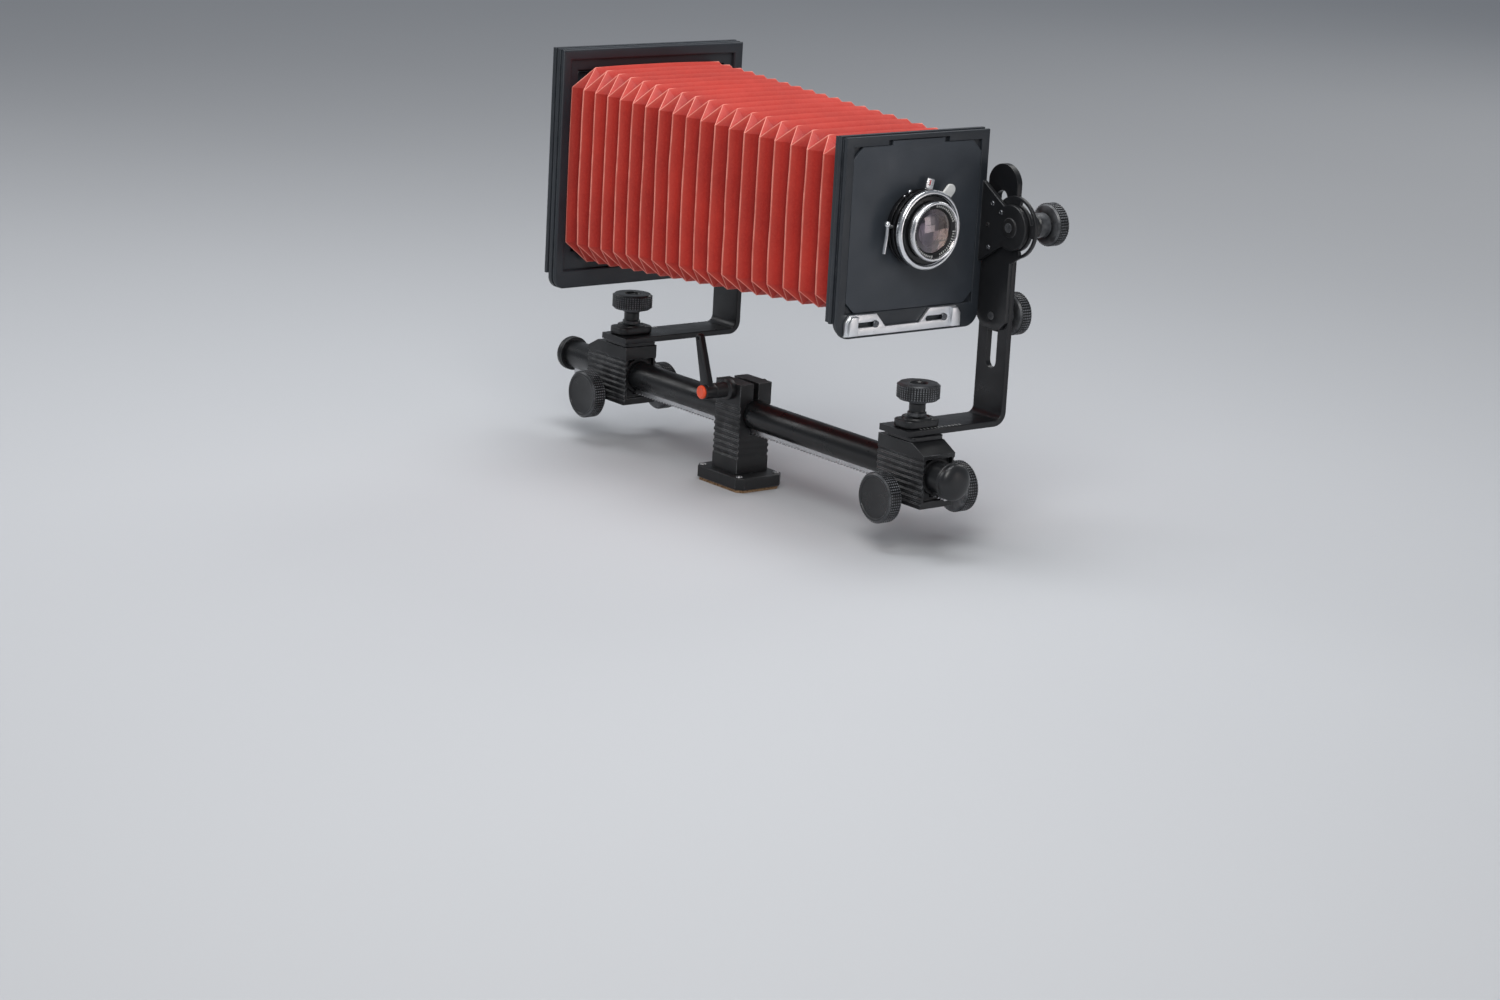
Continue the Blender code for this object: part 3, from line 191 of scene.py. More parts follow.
def bright_metal(name, tone, rough, pale_edges, brushed=None):
    """Plated or turned metal with fine scratches and a little uneven polish."""
    look = Look(name)
    edge, soft = look.edges(0.35 * UNIT)
    fine = look.noise(900, 2, 0.5, brushed) if brushed else look.noise(260, 3)
    colour = look.mix(look.ramp(look.noise(40, 3), 0.0, 0.5, 0.4, 0.75), tone, [c * 0.72 for c in tone])
    # Sharp edges are mixed towards near white.
    colour = look.mix(look.math("MULTIPLY", edge, pale_edges), colour, (0.95, 0.95, 0.96))
    look.set(Base_Color=colour, Metallic=1.0)
    look.set(Roughness=look.ramp(look.noise(120, 4), rough * 0.8, rough * 1.35, 0.3, 0.7))
    look.set(Normal=look.bump(fine, 0.12 if brushed else 0.015, 0.05 * UNIT, soft))
    return look.material


def knob_look():
    """Moulded knob: painted shade in the cuts of its knurling, and a painted highlight, uneven by noise, on
    the tops of the pads.
    """
    look = Look("knob_black")
    point = look.add("ShaderNodeNewGeometry").outputs["Pointiness"]
    # Painted highlight on the convex tops of the pads, found by pointiness and made uneven by noise.
    wear_and_highlight = look.ramp(point, 0.0, 1.0, 0.51, 0.6)
    wear_and_highlight = look.math("MULTIPLY", wear_and_highlight, look.ramp(look.noise(90), 0.25, 1.0, 0.35, 0.6))
    colour = look.mix(look.noise(45, 4), (0.009, 0.0095, 0.0105), (0.015, 0.016, 0.018))
    # Painted shade: the concave cuts of the knurling are darkened to near black.
    colour = look.mix(look.ramp(point, 1.0, 0.0, 0.44, 0.495), colour, (0.003, 0.003, 0.0035))
    colour = look.mix(wear_and_highlight, colour, (0.3, 0.31, 0.33))
    look.set(Base_Color=colour, Roughness=look.ramp(look.noise(60, 4), 0.24, 0.42, 0.3, 0.7))
    look.set(Normal=look.bump(look.noise(500, 4), 0.1, 0.1 * UNIT))
    return look.material


def cloth_look():
    """Coated red bellows cloth: fine weave, uneven dye, a painted highlight line and a paler painted band
    along the fold ridges, and painted shade in the fold valleys.
    """
    look = Look("bellows_cloth")
    ridge = look.add("ShaderNodeAttribute", attribute_name="ridge").outputs["Fac"]
    # Thin painted highlight line along the fold ridges, uneven by noise.
    line = look.ramp(ridge, 0.0, 1.0, 0.89, 0.96)
    line = look.math("MULTIPLY", line, look.ramp(look.noise(60, 3), 0.45, 1.0, 0.3, 0.6))
    # Painted shade in the fold valleys, darkest where the ridge value is 0.
    valley_shade = look.ramp(ridge, 0.75, 0.0, 0.0, 0.45)
    patch = look.ramp(look.noise(14, 4, 0.6), 0.0, 1.0, 0.35, 0.68)
    colour = look.mix(patch, (0.36, 0.014, 0.008), (0.48, 0.024, 0.013))
    colour = look.mix(look.ramp(look.noise(420, 2), 0.0, 0.2, 0.4, 0.7), colour, (0.6, 0.05, 0.03))
    colour = look.mix(valley_shade, colour, (0.27, 0.008, 0.005))
    # Paler painted band of light on either side of each ridge.
    colour = look.mix(look.ramp(ridge, 0.0, 0.36, 0.5, 1.0), colour, (0.68, 0.12, 0.085))
    colour = look.mix(look.math("MULTIPLY", line, 0.85), colour, (0.88, 0.33, 0.26))
    weave = []
    for direction in ("X", "Y", "Z"):
        sockets = {"Vector": look.place, "Scale": 330, "Distortion": 0.6, "Detail": 1.0}
        wave = look.add("ShaderNodeTexWave", sockets, wave_type="BANDS", bands_direction=direction)
        weave.append(wave.outputs["Fac"])
    height = look.math("ADD", weave[0], look.math("ADD", weave[1], weave[2]))
    creases = look.bump(look.noise(55, 4, 0.6, (1, 1, 0.35)), 0.25, 0.6 * UNIT)
    look.set(Base_Color=colour, Normal=look.bump(height, 0.16, 0.1 * UNIT, creases))
    look.set(Roughness=look.ramp(look.noise(90, 3), 0.44, 0.6, 0.3, 0.7))
    look.set(Sheen_Weight=0.05, Sheen_Roughness=0.4, Sheen_Tint=(1.0, 0.6, 0.5, 1), Specular_IOR_Level=0.32)
    return look.material


def lens_look():
    """Coated glass: clear, with the purple and amber cast of its coating at the reflections."""
    look = Look("coated_glass")
    facing = look.add("ShaderNodeLayerWeight", {"Blend": 0.35}).outputs["Facing"]
    tint = look.mix(facing, (0.88, 0.78, 0.9), (0.95, 0.86, 0.76))
    haze = look.ramp(look.noise(60, 4), 0.0, 0.03, 0.4, 0.8)
    across = look.add("ShaderNodeSeparateXYZ", {0: look.place}).outputs["X"]
    side = look.ramp(across, 0.0, 1.0, -6 * UNIT, 12 * UNIT)
    cast = look.mix(side, (1.0, 0.84, 0.95), (1.0, 0.76, 0.5))
    look.set(Base_Color=tint, Roughness=haze, IOR=1.75, Transmission_Weight=1.0, Specular_Tint=cast)
    look.set(Coat_Weight=1.0, Coat_IOR=1.6, Coat_Roughness=0.02)
    return look.material


def screen_look():
    """Ground glass: pale, frosted, with a fine grain and a little unevenness."""
    look = Look("ground_glass")
    grain = look.noise(1500, 2)
    cloud = look.ramp(look.noise(18, 4), 0.0, 1.0, 0.35, 0.7)
    colour = look.mix(cloud, (0.42, 0.52, 0.52), (0.56, 0.66, 0.66))
    look.set(Base_Color=colour, Roughness=look.ramp(grain, 0.3, 0.5), Transmission_Weight=0.25, IOR=1.5)
    look.set(Normal=look.bump(grain, 0.2, 0.05 * UNIT), Coat_Weight=0.15)
    return look.material


def cork_look():
    look = Look("cork_pad")
    grain = look.cells(420)
    colour = look.mix(look.ramp(grain, 0.0, 1.0, 0.1, 0.7), (0.16, 0.085, 0.04), (0.42, 0.26, 0.14))
    colour = look.mix(look.ramp(look.noise(600, 2), 0.0, 0.6, 0.55, 0.7), colour, (0.07, 0.035, 0.02))
    look.set(Base_Color=colour, Roughness=0.88, Normal=look.bump(grain, 0.5, 0.25 * UNIT))
    return look.material


def plain_look(name, tone, rough, gloss=0.0):
    """Moulded or printed colour with a faint mottle."""
    look = Look(name)
    colour = look.mix(look.noise(80, 3), [c * 0.85 for c in tone], tone)
    look.set(Base_Color=colour, Roughness=look.ramp(look.noise(120, 3), rough - 0.06, rough + 0.08, 0.3, 0.7))
    look.set(Normal=look.bump(look.noise(700, 2), 0.08, 0.05 * UNIT), Coat_Weight=gloss)
    return look.material


MOULDED = black_finish("moulded_black", (0.012, 0.0125, 0.014), 0.36, 0.16, 420, pale_edges=0.5)
KNOB = knob_look()
FRAME = black_finish("frame_black", (0.024, 0.029, 0.036), 0.4, 0.2, 380, pale_edges=0.35)
BOARD = black_finish("board_black", (0.046, 0.054, 0.066), 0.45, 0.22, 1500, pale_edges=0.3)
CAST = black_finish("cast_black", (0.0095, 0.01, 0.0112), 0.44, 0.3, 900, pale_edges=1.3, radius=0.8 * UNIT)
ANODISED = black_finish("anodised_black", (0.011, 0.0116, 0.0135), 0.33, 0.08, 300, metallic=0.2, pale_edges=0.9)
RAIL = black_finish("rail_black", (0.0075, 0.008, 0.009), 0.3, 0.07, 300, metallic=0.1, pale_edges=0.4)
DEEP = black_finish("barrel_black", (0.006, 0.006, 0.007), 0.6, 0.1, 400, pale_edges=0.0)
GLOSS = black_finish("drum_black", (0.008, 0.008, 0.009), 0.2, 0.05, 400, pale_edges=0.5, radius=0.3 * UNIT)
SILVER = bright_metal("bright_nickel", (0.9, 0.91, 0.93), 0.34, pale_edges=0.4)
CHROME = bright_metal("bright_chrome", (0.86, 0.87, 0.89), 0.2, pale_edges=0.3)
SATIN = bright_metal("satin_steel", (0.55, 0.55, 0.56), 0.3, pale_edges=0.3, brushed=(1, 30, 30))
BLUED = bright_metal("blued_steel", (0.16, 0.165, 0.18), 0.32, pale_edges=0.4)
BRASS = bright_metal("turned_brass", (0.62, 0.45, 0.19), 0.28, pale_edges=0.2)
CLOTH = cloth_look()
GLASS = lens_look()
SCREEN = screen_look()
CORK = cork_look()
ORANGE = plain_look("orange_plastic", (0.95, 0.09, 0.02), 0.35, 0.3)
WHITE = plain_look("white_fill", (0.8, 0.8, 0.78), 0.5)
RED = plain_look("red_fill", (0.75, 0.03, 0.04), 0.45)
INK = plain_look("grid_ink", (0.09, 0.12, 0.13), 0.6)


# ---------------------------------------------------------------- shapes


# How an outline is laid across each axis, and how a turned shape is laid along it
AXIS = {
    "X": Matrix(((0, 0, 1), (1, 0, 0), (0, 1, 0))).to_4x4(),
    "Y": Matrix(((1, 0, 0), (0, 0, -1), (0, 1, 0))).to_4x4(),
    "Z": Matrix.Identity(4),
}
SPIN = {**AXIS, "Y": Matrix(((0, 1, 0), (0, 0, 1), (1, 0, 0))).to_4x4()}


def soften(profile, radius, closed=False):
    """The profile with each corner rounded off by three points."""
    out = []
    count = len(profile)
    for i, here in enumerate(profile):
        if not closed and i in (0, count - 1):
            out.append(here)
            continue
        point = Vector(here)
        before = Vector(profile[i - 1]) - point
        after = Vector(profile[(i + 1) % count]) - point
        reach = min(radius, 0.45 * before.length, 0.45 * after.length)
        first = point + before.normalized() * reach
        last = point + after.normalized() * reach
        out += [tuple(first), tuple(0.25 * first + 0.5 * point + 0.25 * last), tuple(last)]
    return out


def lathe(profile, axis, centre, steps, soft, wobble=None):
    """A bmesh of (radius, height) points turned about an axis. wobble(radius, height, i) gives a radius."""
    closed = profile[0][0] > 0
    points = soften(profile, soft, closed) if soft else profile
    bm = bmesh.new()
    rings = []
    for radius, height in points:
        if radius < 1e-7:
            rings.append([bm.verts.new((0, 0, height))] * steps)
            continue
        ring = []
        for i in range(steps):
            angle = 2 * math.pi * i / steps
            r = wobble(radius, height, i) if wobble else radius
            ring.append(bm.verts.new((r * math.cos(angle), r * math.sin(angle), height)))
        rings.append(ring)
    pairs = list(zip(rings, rings[1:]))
    if closed:
        pairs.append((rings[-1], rings[0]))
    for upper, lower in pairs:
        for i in range(steps):
            j = (i + 1) % steps
            corners = []
            for vert in (upper[i], lower[i], lower[j], upper[j]):
                if vert not in corners:
                    corners.append(vert)
            if len(corners) > 2:
                bm.faces.new(corners)
    bmesh.ops.recalc_face_normals(bm, faces=bm.faces)
    bm.transform(Matrix.Translation(Vector(centre)) @ SPIN[axis])
    return bm


def rod(axis, centre, radius, low, high, steps=48, soft=0.3):
    return lathe([(0, high), (radius, high), (radius, low), (0, low)], axis, centre, steps, soft)


def pipe(axis, centre, outer, inner, low, high, steps=72, soft=0.3):
    profile = [(inner, high), (outer, high), (outer, low), (inner, low)]
    return lathe(profile, axis, centre, steps, soft)


def new_object(name, data):
    obj = bpy.data.objects.new(name, data)
    bpy.context.scene.collection.objects.link(obj)
    return obj


def evaluated_mesh(obj):
    """A new mesh of the object as its curve settings or modifiers make it."""
    graph = bpy.context.evaluated_depsgraph_get()
    return bpy.data.meshes.new_from_object(obj.evaluated_get(graph))


def curve_solid(loops, place=None, closed=False, **settings):
    """The solid that a curve through loops of points fills, as a bmesh."""
    curve = bpy.data.curves.new("outline", "CURVE")
    for key, value in settings.items():
        setattr(curve, key, value)
    for loop in loops:
        spline = curve.splines.new("POLY")
        spline.points.add(len(loop) - 1)
        for point, where in zip(spline.points, loop):
            point.co = (*where, 1)
        spline.use_cyclic_u = closed
    guide = new_object("outline", curve)
    mesh = evaluated_mesh(guide)
    bpy.data.objects.remove(guide)
    bm = bmesh.new()
    bm.from_mesh(mesh)
    bpy.data.meshes.remove(mesh)
    bmesh.ops.remove_doubles(bm, verts=bm.verts, dist=0.002)
    bmesh.ops.recalc_face_normals(bm, faces=bm.faces)
    if place:
        bm.transform(place)
    return bm


def plate(loops, axis, start, end, soft=0.5, rounds=2):
    """A bmesh of a flat outline and its holes, extruded along an axis with rounded edges.

    Outline points are (y, z) for axis X, (x, z) for axis Y and (x, y) for axis Z.
    """
    middle = Vector([(start + end) / 2 if axis == letter else 0 for letter in "XYZ"])
    place = Matrix.Translation(middle) @ AXIS[axis]
    flat = [[(u, v, 0) for u, v in loop] for loop in loops]
    size = {"extrude": abs(end - start) / 2 - soft, "bevel_depth": soft, "offset": -soft}
    return curve_solid(flat, place, True, dimensions="2D", fill_mode="BOTH", bevel_resolution=rounds, **size)


def wire(points, radius, steps=3):
    """A rod of round section through points."""
    section = {"bevel_depth": radius, "bevel_resolution": steps, "use_fill_caps": True}
    return curve_solid([points], dimensions="3D", **section)


def eased(points, reach):
    """A 3-D path whose corners are rounded by quadratic arcs."""
    steps = 4
    out = [Vector(points[0])]
    for before, here, after in zip(points, points[1:], points[2:]):
        here = Vector(here)
        back = Vector(before) - here
        ahead = Vector(after) - here
        first = here + back.normalized() * min(reach, 0.45 * back.length)
        last = here + ahead.normalized() * min(reach, 0.45 * ahead.length)
        for i in range(steps + 1):
            t = i / steps
            out.append((1 - t) ** 2 * first + 2 * t * (1 - t) * here + t * t * last)
    return out + [Vector(points[-1])]


def block(x, y, z, soft=0.5):
    """A box between pairs of coordinates, edges rounded."""
    bm = bmesh.new()
    bmesh.ops.create_cube(bm, size=1)
    bmesh.ops.scale(bm, vec=[high - low for low, high in (x, y, z)], verts=bm.verts)
    bmesh.ops.translate(bm, vec=[(high + low) / 2 for low, high in (x, y, z)], verts=bm.verts)
    if soft:
        bmesh.ops.bevel(bm, geom=bm.edges[:], offset=soft, segments=2, profile=0.6, affect="EDGES")
    return bm


def arc(centre, radius, first, last, steps):
    turn = (last - first) / steps
    angles = [math.radians(first + turn * i) for i in range(steps + 1)]
    return [(centre[0] + radius * math.cos(a), centre[1] + radius * math.sin(a)) for a in angles]


def circle(middle, radius, steps=48):
    return arc(middle, radius, 0, 360 * (steps - 1) / steps, steps - 1)


def rectangle(half_u, half_v, middle=(0, 0), cut_off=0):
    u, v = middle
    if not cut_off:
        return [(u + half_u * a, v + half_v * b) for a, b in ((-1, -1), (1, -1), (1, 1), (-1, 1))]
    outline = []
    for a, b in ((1, -1), (1, 1), (-1, 1), (-1, -1)):
        side = (u + half_u * a, v + (half_v - cut_off) * b)
        end = (u + (half_u - cut_off) * a, v + half_v * b)
        outline += [side, end] if a == b else [end, side]
    return outline


def window(half_u, half_v, cut_off=0):
    """A rectangle round the lens's axis, as seen along it."""
    return rectangle(half_u, half_v, (0, TILT_Z), cut_off)


def moved(loops, u, v, flip=1):
    """Outlines shifted by (u, v), and mirrored before that where flip is -1."""
    return [[(u + a * flip, v + b) for a, b in loop] for loop in loops]


def turned(loops, angle, place):
    """Outlines turned clockwise by an angle and then shifted."""
    turn = Matrix.Rotation(-math.radians(angle), 2)
    return [[tuple(turn @ Vector(point) + Vector(place)) for point in loop] for loop in loops]


def rounded_box(half_u, half_v, middle, radius):
    """A rectangle whose corners are arcs."""
    outline = []
    for a, b, first in ((1, -1, -90), (1, 1, 0), (-1, 1, 90), (-1, -1, 180)):
        centre = (middle[0] + a * (half_u - radius), middle[1] + b * (half_v - radius))
        outline += arc(centre, radius, first, first + 90, 8)
    return outline


def stadium(middle, half_width, half_length, upright=True):
    """A slot's outline with round ends."""
    steps = 12
    u, v = middle
    if upright:
        top = arc((u, v + half_length), half_width, 0, 180, steps)
        return top + arc((u, v - half_length), half_width, 180, 360, steps)
    right = arc((u + half_length, v), half_width, -90, 90, steps)
    return right + arc((u - half_length, v), half_width, 90, 270, steps)


def merged(shapes):
    """One bmesh from several, which are freed."""
    whole = bmesh.new()
    for bm in shapes:
        part = bpy.data.meshes.new("part")
        bm.to_mesh(part)
        bm.free()
        whole.from_mesh(part)
        bpy.data.meshes.remove(part)
    return whole


def piece(name, parts, body, cutters=(), node=True):
    """One shown piece from (bmesh, material) parts in millimetres, with shapes cut out of it.

    It rides on a body, and takes the place of the CAD node of its own name unless node is false.
    """
    mesh = bpy.data.meshes.new(name)
    for bm, material in parts:
        if material.name not in mesh.materials:
            mesh.materials.append(material)
        slot = mesh.materials.find(material.name)
        for face in bm.faces:
            face.material_index = slot
            face.smooth = True
    whole = merged([bm for bm, _ in parts])
    whole.to_mesh(mesh)
    whole.free()
    obj = new_object(name, mesh)
    for bm in cutters:
        carve(obj, bm)
    obj.data.transform(Matrix.Scale(UNIT, 4))
    obj.data.set_sharp_from_angle(angle=SHARP)
    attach(obj, body)
    if node:
        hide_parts(name)


def carve(obj, bm):
    """Cuts a shape out of an object and keeps the result as its mesh."""
    shape = bpy.data.meshes.new("tool")
    for face in bm.faces:
        face.smooth = True
    bm.to_mesh(shape)
    bm.free()
    tool = new_object("tool", shape)
    modifier = obj.modifiers.new("carve", "BOOLEAN")
    modifier.operation = "DIFFERENCE"
    modifier.solver = "EXACT"
    modifier.object = tool
    result = evaluated_mesh(obj)
    obj.modifiers.clear()
    obj.data = result
    result.name = obj.name
    bpy.data.objects.remove(tool)


# ---------------------------------------------------------------- knobs


def knurled(radius, thick, rows, dish, recess, hub):
    """A knob's head from its outer face inwards: a round recess, then a rim cut into square pads."""
    edge = 1.6
    depth = 0.8
    face = [(0, thick - dish), (recess, thick - dish), (recess + 0.4 * dish, thick - 0.3)]
    face += [(recess + 0.4 * dish + 0.8, thick), (radius - edge - depth, thick)]
    face.append((radius - depth, thick - edge))
    profile = soften(face, 0.4)
    span = thick - 2 * edge
    for row in range(rows):
        for share, raised in ((0.06, 0), (0.18, 1), (0.5, 1), (0.82, 1), (0.94, 0)):
            height = thick - edge - span * (row + share) / rows
            profile.append((radius if raised else radius - depth, height))
    profile += [(radius - depth, edge), (radius - edge - depth, 0), (hub, 0)]
    limit = radius - 0.5 * depth

    def wobble(r, height, i):
        return r if r < limit or i % PAD_STEPS in (1, 2, 3) else radius - depth

    return profile, wobble


def knob(name, body, axis, centre, outward, size, stem, dish=2.4, recess=8, more=()):
    """A whole knob: head and stepped stem.

    size is the head's radius and thickness with its pads round the rim and rows across it, and stem is a
    list of (radius, height) points below the head.
    """
    radius, thick, pads, rows = size
    head, wobble = knurled(radius, thick, rows, dish, recess, stem[0][0])
    if outward < 0:
        head = [(r, -h) for r, h in head]
        stem = [(r, -h) for r, h in stem]
    parts = [(lathe(head + [(0, head[-1][1])], axis, centre, pads * PAD_STEPS, 0, wobble), KNOB)]
    start = head[-1][1]
    inside = 1.5 * outward
    shaft = [(0, start + inside), (stem[0][0], start + inside)] + stem + [(0, stem[-1][1])]
    parts.append((lathe(shaft, axis, centre, 64, 0.4), KNOB))
    piece(name, parts + list(more), body)


def focus_knobs(end):
    """Both knobs of a bearer, and the toothed shaft between them."""
    y = PINION_Y[end]
    body = f"{end}_focus_drive"
    stem = 9
    left = [(stem, -9)]
    right = [(stem, -3), (stem - 1, -4), (stem - 1, -12), (stem, -13), (stem, -31)]
    size = (25.5, 16, 56, 5)
    for side, x, outward, below in (("left", -31, -1, left), ("right", 53, 1, right)):
        place = (x, y, PINION_Z)
        knob(f"{end}_focus_knob_{side}", body, "X", place, outward, size, below, 1.1, 20.5)
    shaft = [(rod("X", (0, y, PINION_Z), 3, -40, 62), SATIN)]
    teeth = []
    for i in range(2 * PINION_TEETH):
        radius = 4.6 if i % 2 else 2.9
        angle = math.pi * i / PINION_TEETH
        teeth.append((y + radius * math.cos(angle), PINION_Z + radius * math.sin(angle)))
    shaft.append((plate([teeth], "X", -5, 5, 0.1), SATIN))
    piece(f"{end}_pinion_shaft", shaft, body)


def swing_lock(end):
    """The knob above the strap, the saddle it presses on and the turntable under the strap."""
    y = SWING_Y[end]
    stem_radius = 9.6
    waist = 8.2
    stem = [(stem_radius, -3), (waist, -4.2), (waist, -12), (stem_radius, -13)]
    stem += [(stem_radius, -16.6), (4, -16.6), (4, -37)]
    centre = (0, y, RAIL_Z + 70.5)
    size = (KNOB_RADIUS, 16.5, 48, 6)
    knob(f"{end}_swing_knob", f"{end}_swing_lock", "Z", centre, 1, size, stem, 2.2)
    top = RAIL_Z + 53.5
    low = ARM_BOTTOM + STRAP_THICK + 0.3
    shoulder = top - 2
    hole = circle((0, y), BOLT_BORE)
    saddle = plate([rounded_box(21.5, 14, (0, y), 9), hole], "Z", low, shoulder, 1.5, 4)
    profile = [(BOLT_BORE, top - 1), (12.4, top - 1), (13, top), (14.6, top - 0.3)]
    profile += [(15.6, shoulder - 1), (BOLT_BORE, shoulder - 1)]
    collar = lathe(profile, "Z", (0, y, 0), 72, 0.4)
    piece(f"{end}_swing_saddle", [(saddle, MOULDED), (collar, MOULDED)], f"{end}_turntable")
    bottom = RAIL_Z + 32.3
    outline = [rounded_box(20, 20, (0, y), 4), circle((0, y), BOLT_BORE)]
    disc = plate(outline, "Z", bottom, RAIL_Z + 36.7, 0.6)
    piece(f"{end}_swing_plate", [(disc, MOULDED)], f"{end}_turntable")


def bracket_x(end):
    """Inner face of the carrier and inner face of the upright."""
    carrier = HALF[end] + 0.5
    return carrier, carrier + 4


def side_locks(end):
    """Rise lock and tilt lock, on the outer side of the upright."""
    upright = bracket_x(end)[1]
    out = OUTWARD[end]
    hub = 9.6
    base = upright + STRAP_THICK + 12
    stem = [(hub, -11.4), (4, -11.4), (4, -22.7)]
    centre = (base, SWING_Y[end] + STRAP_OFFSET * out, RISE_LOCK_Z)
    knob(f"{end}_rise_knob", f"{end}_rise_lock", "X", centre, 1, (KNOB_RADIUS, 15, 48, 5), stem)
    base = upright + STRAP_THICK + 31
    stem = [(10, -0.8), (10, -3), (12.4, -3.4), (12.4, -15.4), (10.9, -16.8), (10.9, -30.7), (3, -30.7)]
    stem += [(3, -47.7), (4.6, -47.7), (4.6, -50)]
    centre = (base, SWING_Y[end] + TILT_OFFSET * out, TILT_Z)
    washer = pipe("X", centre, 11.4, 9, -30.6, -28.4)
    size = (KNOB_RADIUS, 14, 48, 5)
    knob(f"{end}_tilt_knob", f"{end}_tilt_lock", "X", centre, 1, size, stem, more=[(washer, SATIN)])


# ---------------------------------------------------------------- rail and clamp


def rail():
    """The round rail with its rack seat, the rack and both end caps."""
    centre = (0, 0, RAIL_Z)
    body = pipe("Y", centre, 15, 11.5, -329, 301, 128, 0.3)
    seat = block((-4.5, 4.5), (-331, 303), (RAIL_Z - 20, RAIL_Z - 13.3), 0)
    piece("rail_tube", [(body, RAIL)], "rail", [seat])
    pitch = 2 * math.pi * PINION_RADIUS / PINION_TEETH
    start = -327
    count = int((299 - start) / pitch)
    top = RAIL_Z - 13.6
    low = RAIL_Z - 20.1
    outline = [(start + count * pitch, top), (start, top)]
    for i in range(count):
        tooth = start + i * pitch
        outline += [(tooth, low), (tooth + 0.42 * pitch, low + 2.2), (tooth + 0.58 * pitch, low + 2.2)]
    outline.append((start + count * pitch, low))
    rack = plate([outline], "X", -4.2, 4.2, 0.12, 0)
    piece("focus_rack", [(rack, SATIN)], "rail")
    for name, face, out in (("rail_cap_front", -329, -1), ("rail_cap_rear", 301, 1)):
        rail_cap(name, face, out)


def rail_cap(name, face, out):
    """A domed end cap with a groove near the rail."""
    r = 18.5
    depth = 15
    profile = []
    for i in range(13):
        t = i / 12
        profile.append((r * math.sin(t * math.pi / 2) ** 0.8, depth - 8.5 * (1 - math.cos(t * math.pi / 2))))
    profile[0] = (0, depth)
    profile += [(r, 3.6), (r - 0.7, 3), (r - 0.7, 2.2), (r, 1.6), (r, 0.3)]
    profile += [(11.2, 0.3), (11.2, -9), (0, -9)]
    profile = [(radius, height * out) for radius, height in profile]
    cap = lathe(profile, "Y", (0, face, RAIL_Z), 96, 0.25)
    piece(name, [(cap, MOULDED)], "rail")


def ribbed(half, bottom, top, ribs, low, high):
    """A block's outline from the front, with level grooves down both sides."""
    pitch = (high - low) / ribs
    depth = 1.2
    side = [(half, bottom)]
    for i in range(ribs):
        z = low + i * pitch
        side += [(half, z), (half - depth, z + 0.22 * pitch), (half - depth, z + 0.5 * pitch)]
        side.append((half, z + 0.72 * pitch))
    side.append((half, top))
    return side + [(-x, z) for x, z in reversed(side)]


def clamp():
    """The split clamp round the rail, its foot with four screws, the cork pad and both bushes."""
    base_top = 16
    top = RAIL_Z + 33
    outline = ribbed(20.5, base_top + 0.3, top, 9, RAIL_Z - 46, RAIL_Z + 12)
    body = plate([outline, circle((0, RAIL_Z), 15.3, 96)], "Y", -21, 21, 0.6)
    far = (-30, 30)
    cuts = [block((-3.5, 3.5), far, (RAIL_Z, top + 2), 0)]
    cuts.append(block((-5, 5), far, (RAIL_Z - 21.1, RAIL_Z - 10), 0))
    cuts.append(rod("X", LEVER, 4.3, -30, 30, 48, 0))
    piece("clamp_body", [(body, CAST)], "tripod_clamp", cuts)
    holes = [circle((0, y), radius + 0.3) for _, y, radius, _ in BUSHES]
    foot = plate([rectangle(30, 39, cut_off=7), *holes], "Z", 3.3, base_top, 1.2, 3)
    parts = [(foot, CAST)]
    for x in (-24, 24):
        for y in (-31, 31):
            parts.append((screw_head((x, y, base_top), "Z", 3.2, 1.2), SATIN))
    piece("clamp_base", parts, "tripod_clamp")
    holes = [circle((0, y), radius + 1.5) for _, y, radius, _ in BUSHES]
    pad = plate([rectangle(28, 37, cut_off=6), *holes], "Z", 0, 3, 0.4)
    piece("base_pad", [(pad, CORK)], "tripod_clamp")
    for bush in BUSHES:
        threaded_bush(*bush)


def threaded_bush(name, y, radius, bore):
    """A steel bush for a tripod's screw, with its thread cut as rings."""
    top = 15.7
    turns = [(bore, top), (radius, top), (radius, 2), (bore + 1, 2)]
    height = 3
    while height < top - 1.6:
        turns += [(bore, height), (bore + 0.7, height + 0.8)]
        height += 1.6
    bush = lathe(turns, "Z", (0, y, 0), 64, 0.1)
    piece(name, [(bush, SATIN)], "tripod_clamp")


def screw_head(centre, axis, radius, height, out=1):
    """A domed head with a hexagon socket. Its middle is recessed by geometry."""
    profile = [(0, 0.25 * height), (0.48 * radius, 0.25 * height), (0.5 * radius, height)]
    profile += [(0.8 * radius, height), (radius, 0.5 * height), (radius, -0.3 * height), (0, -0.3 * height)]
    profile = [(r, h * out) for r, h in profile]
    return lathe(profile, axis, centre, 24, 0.12)


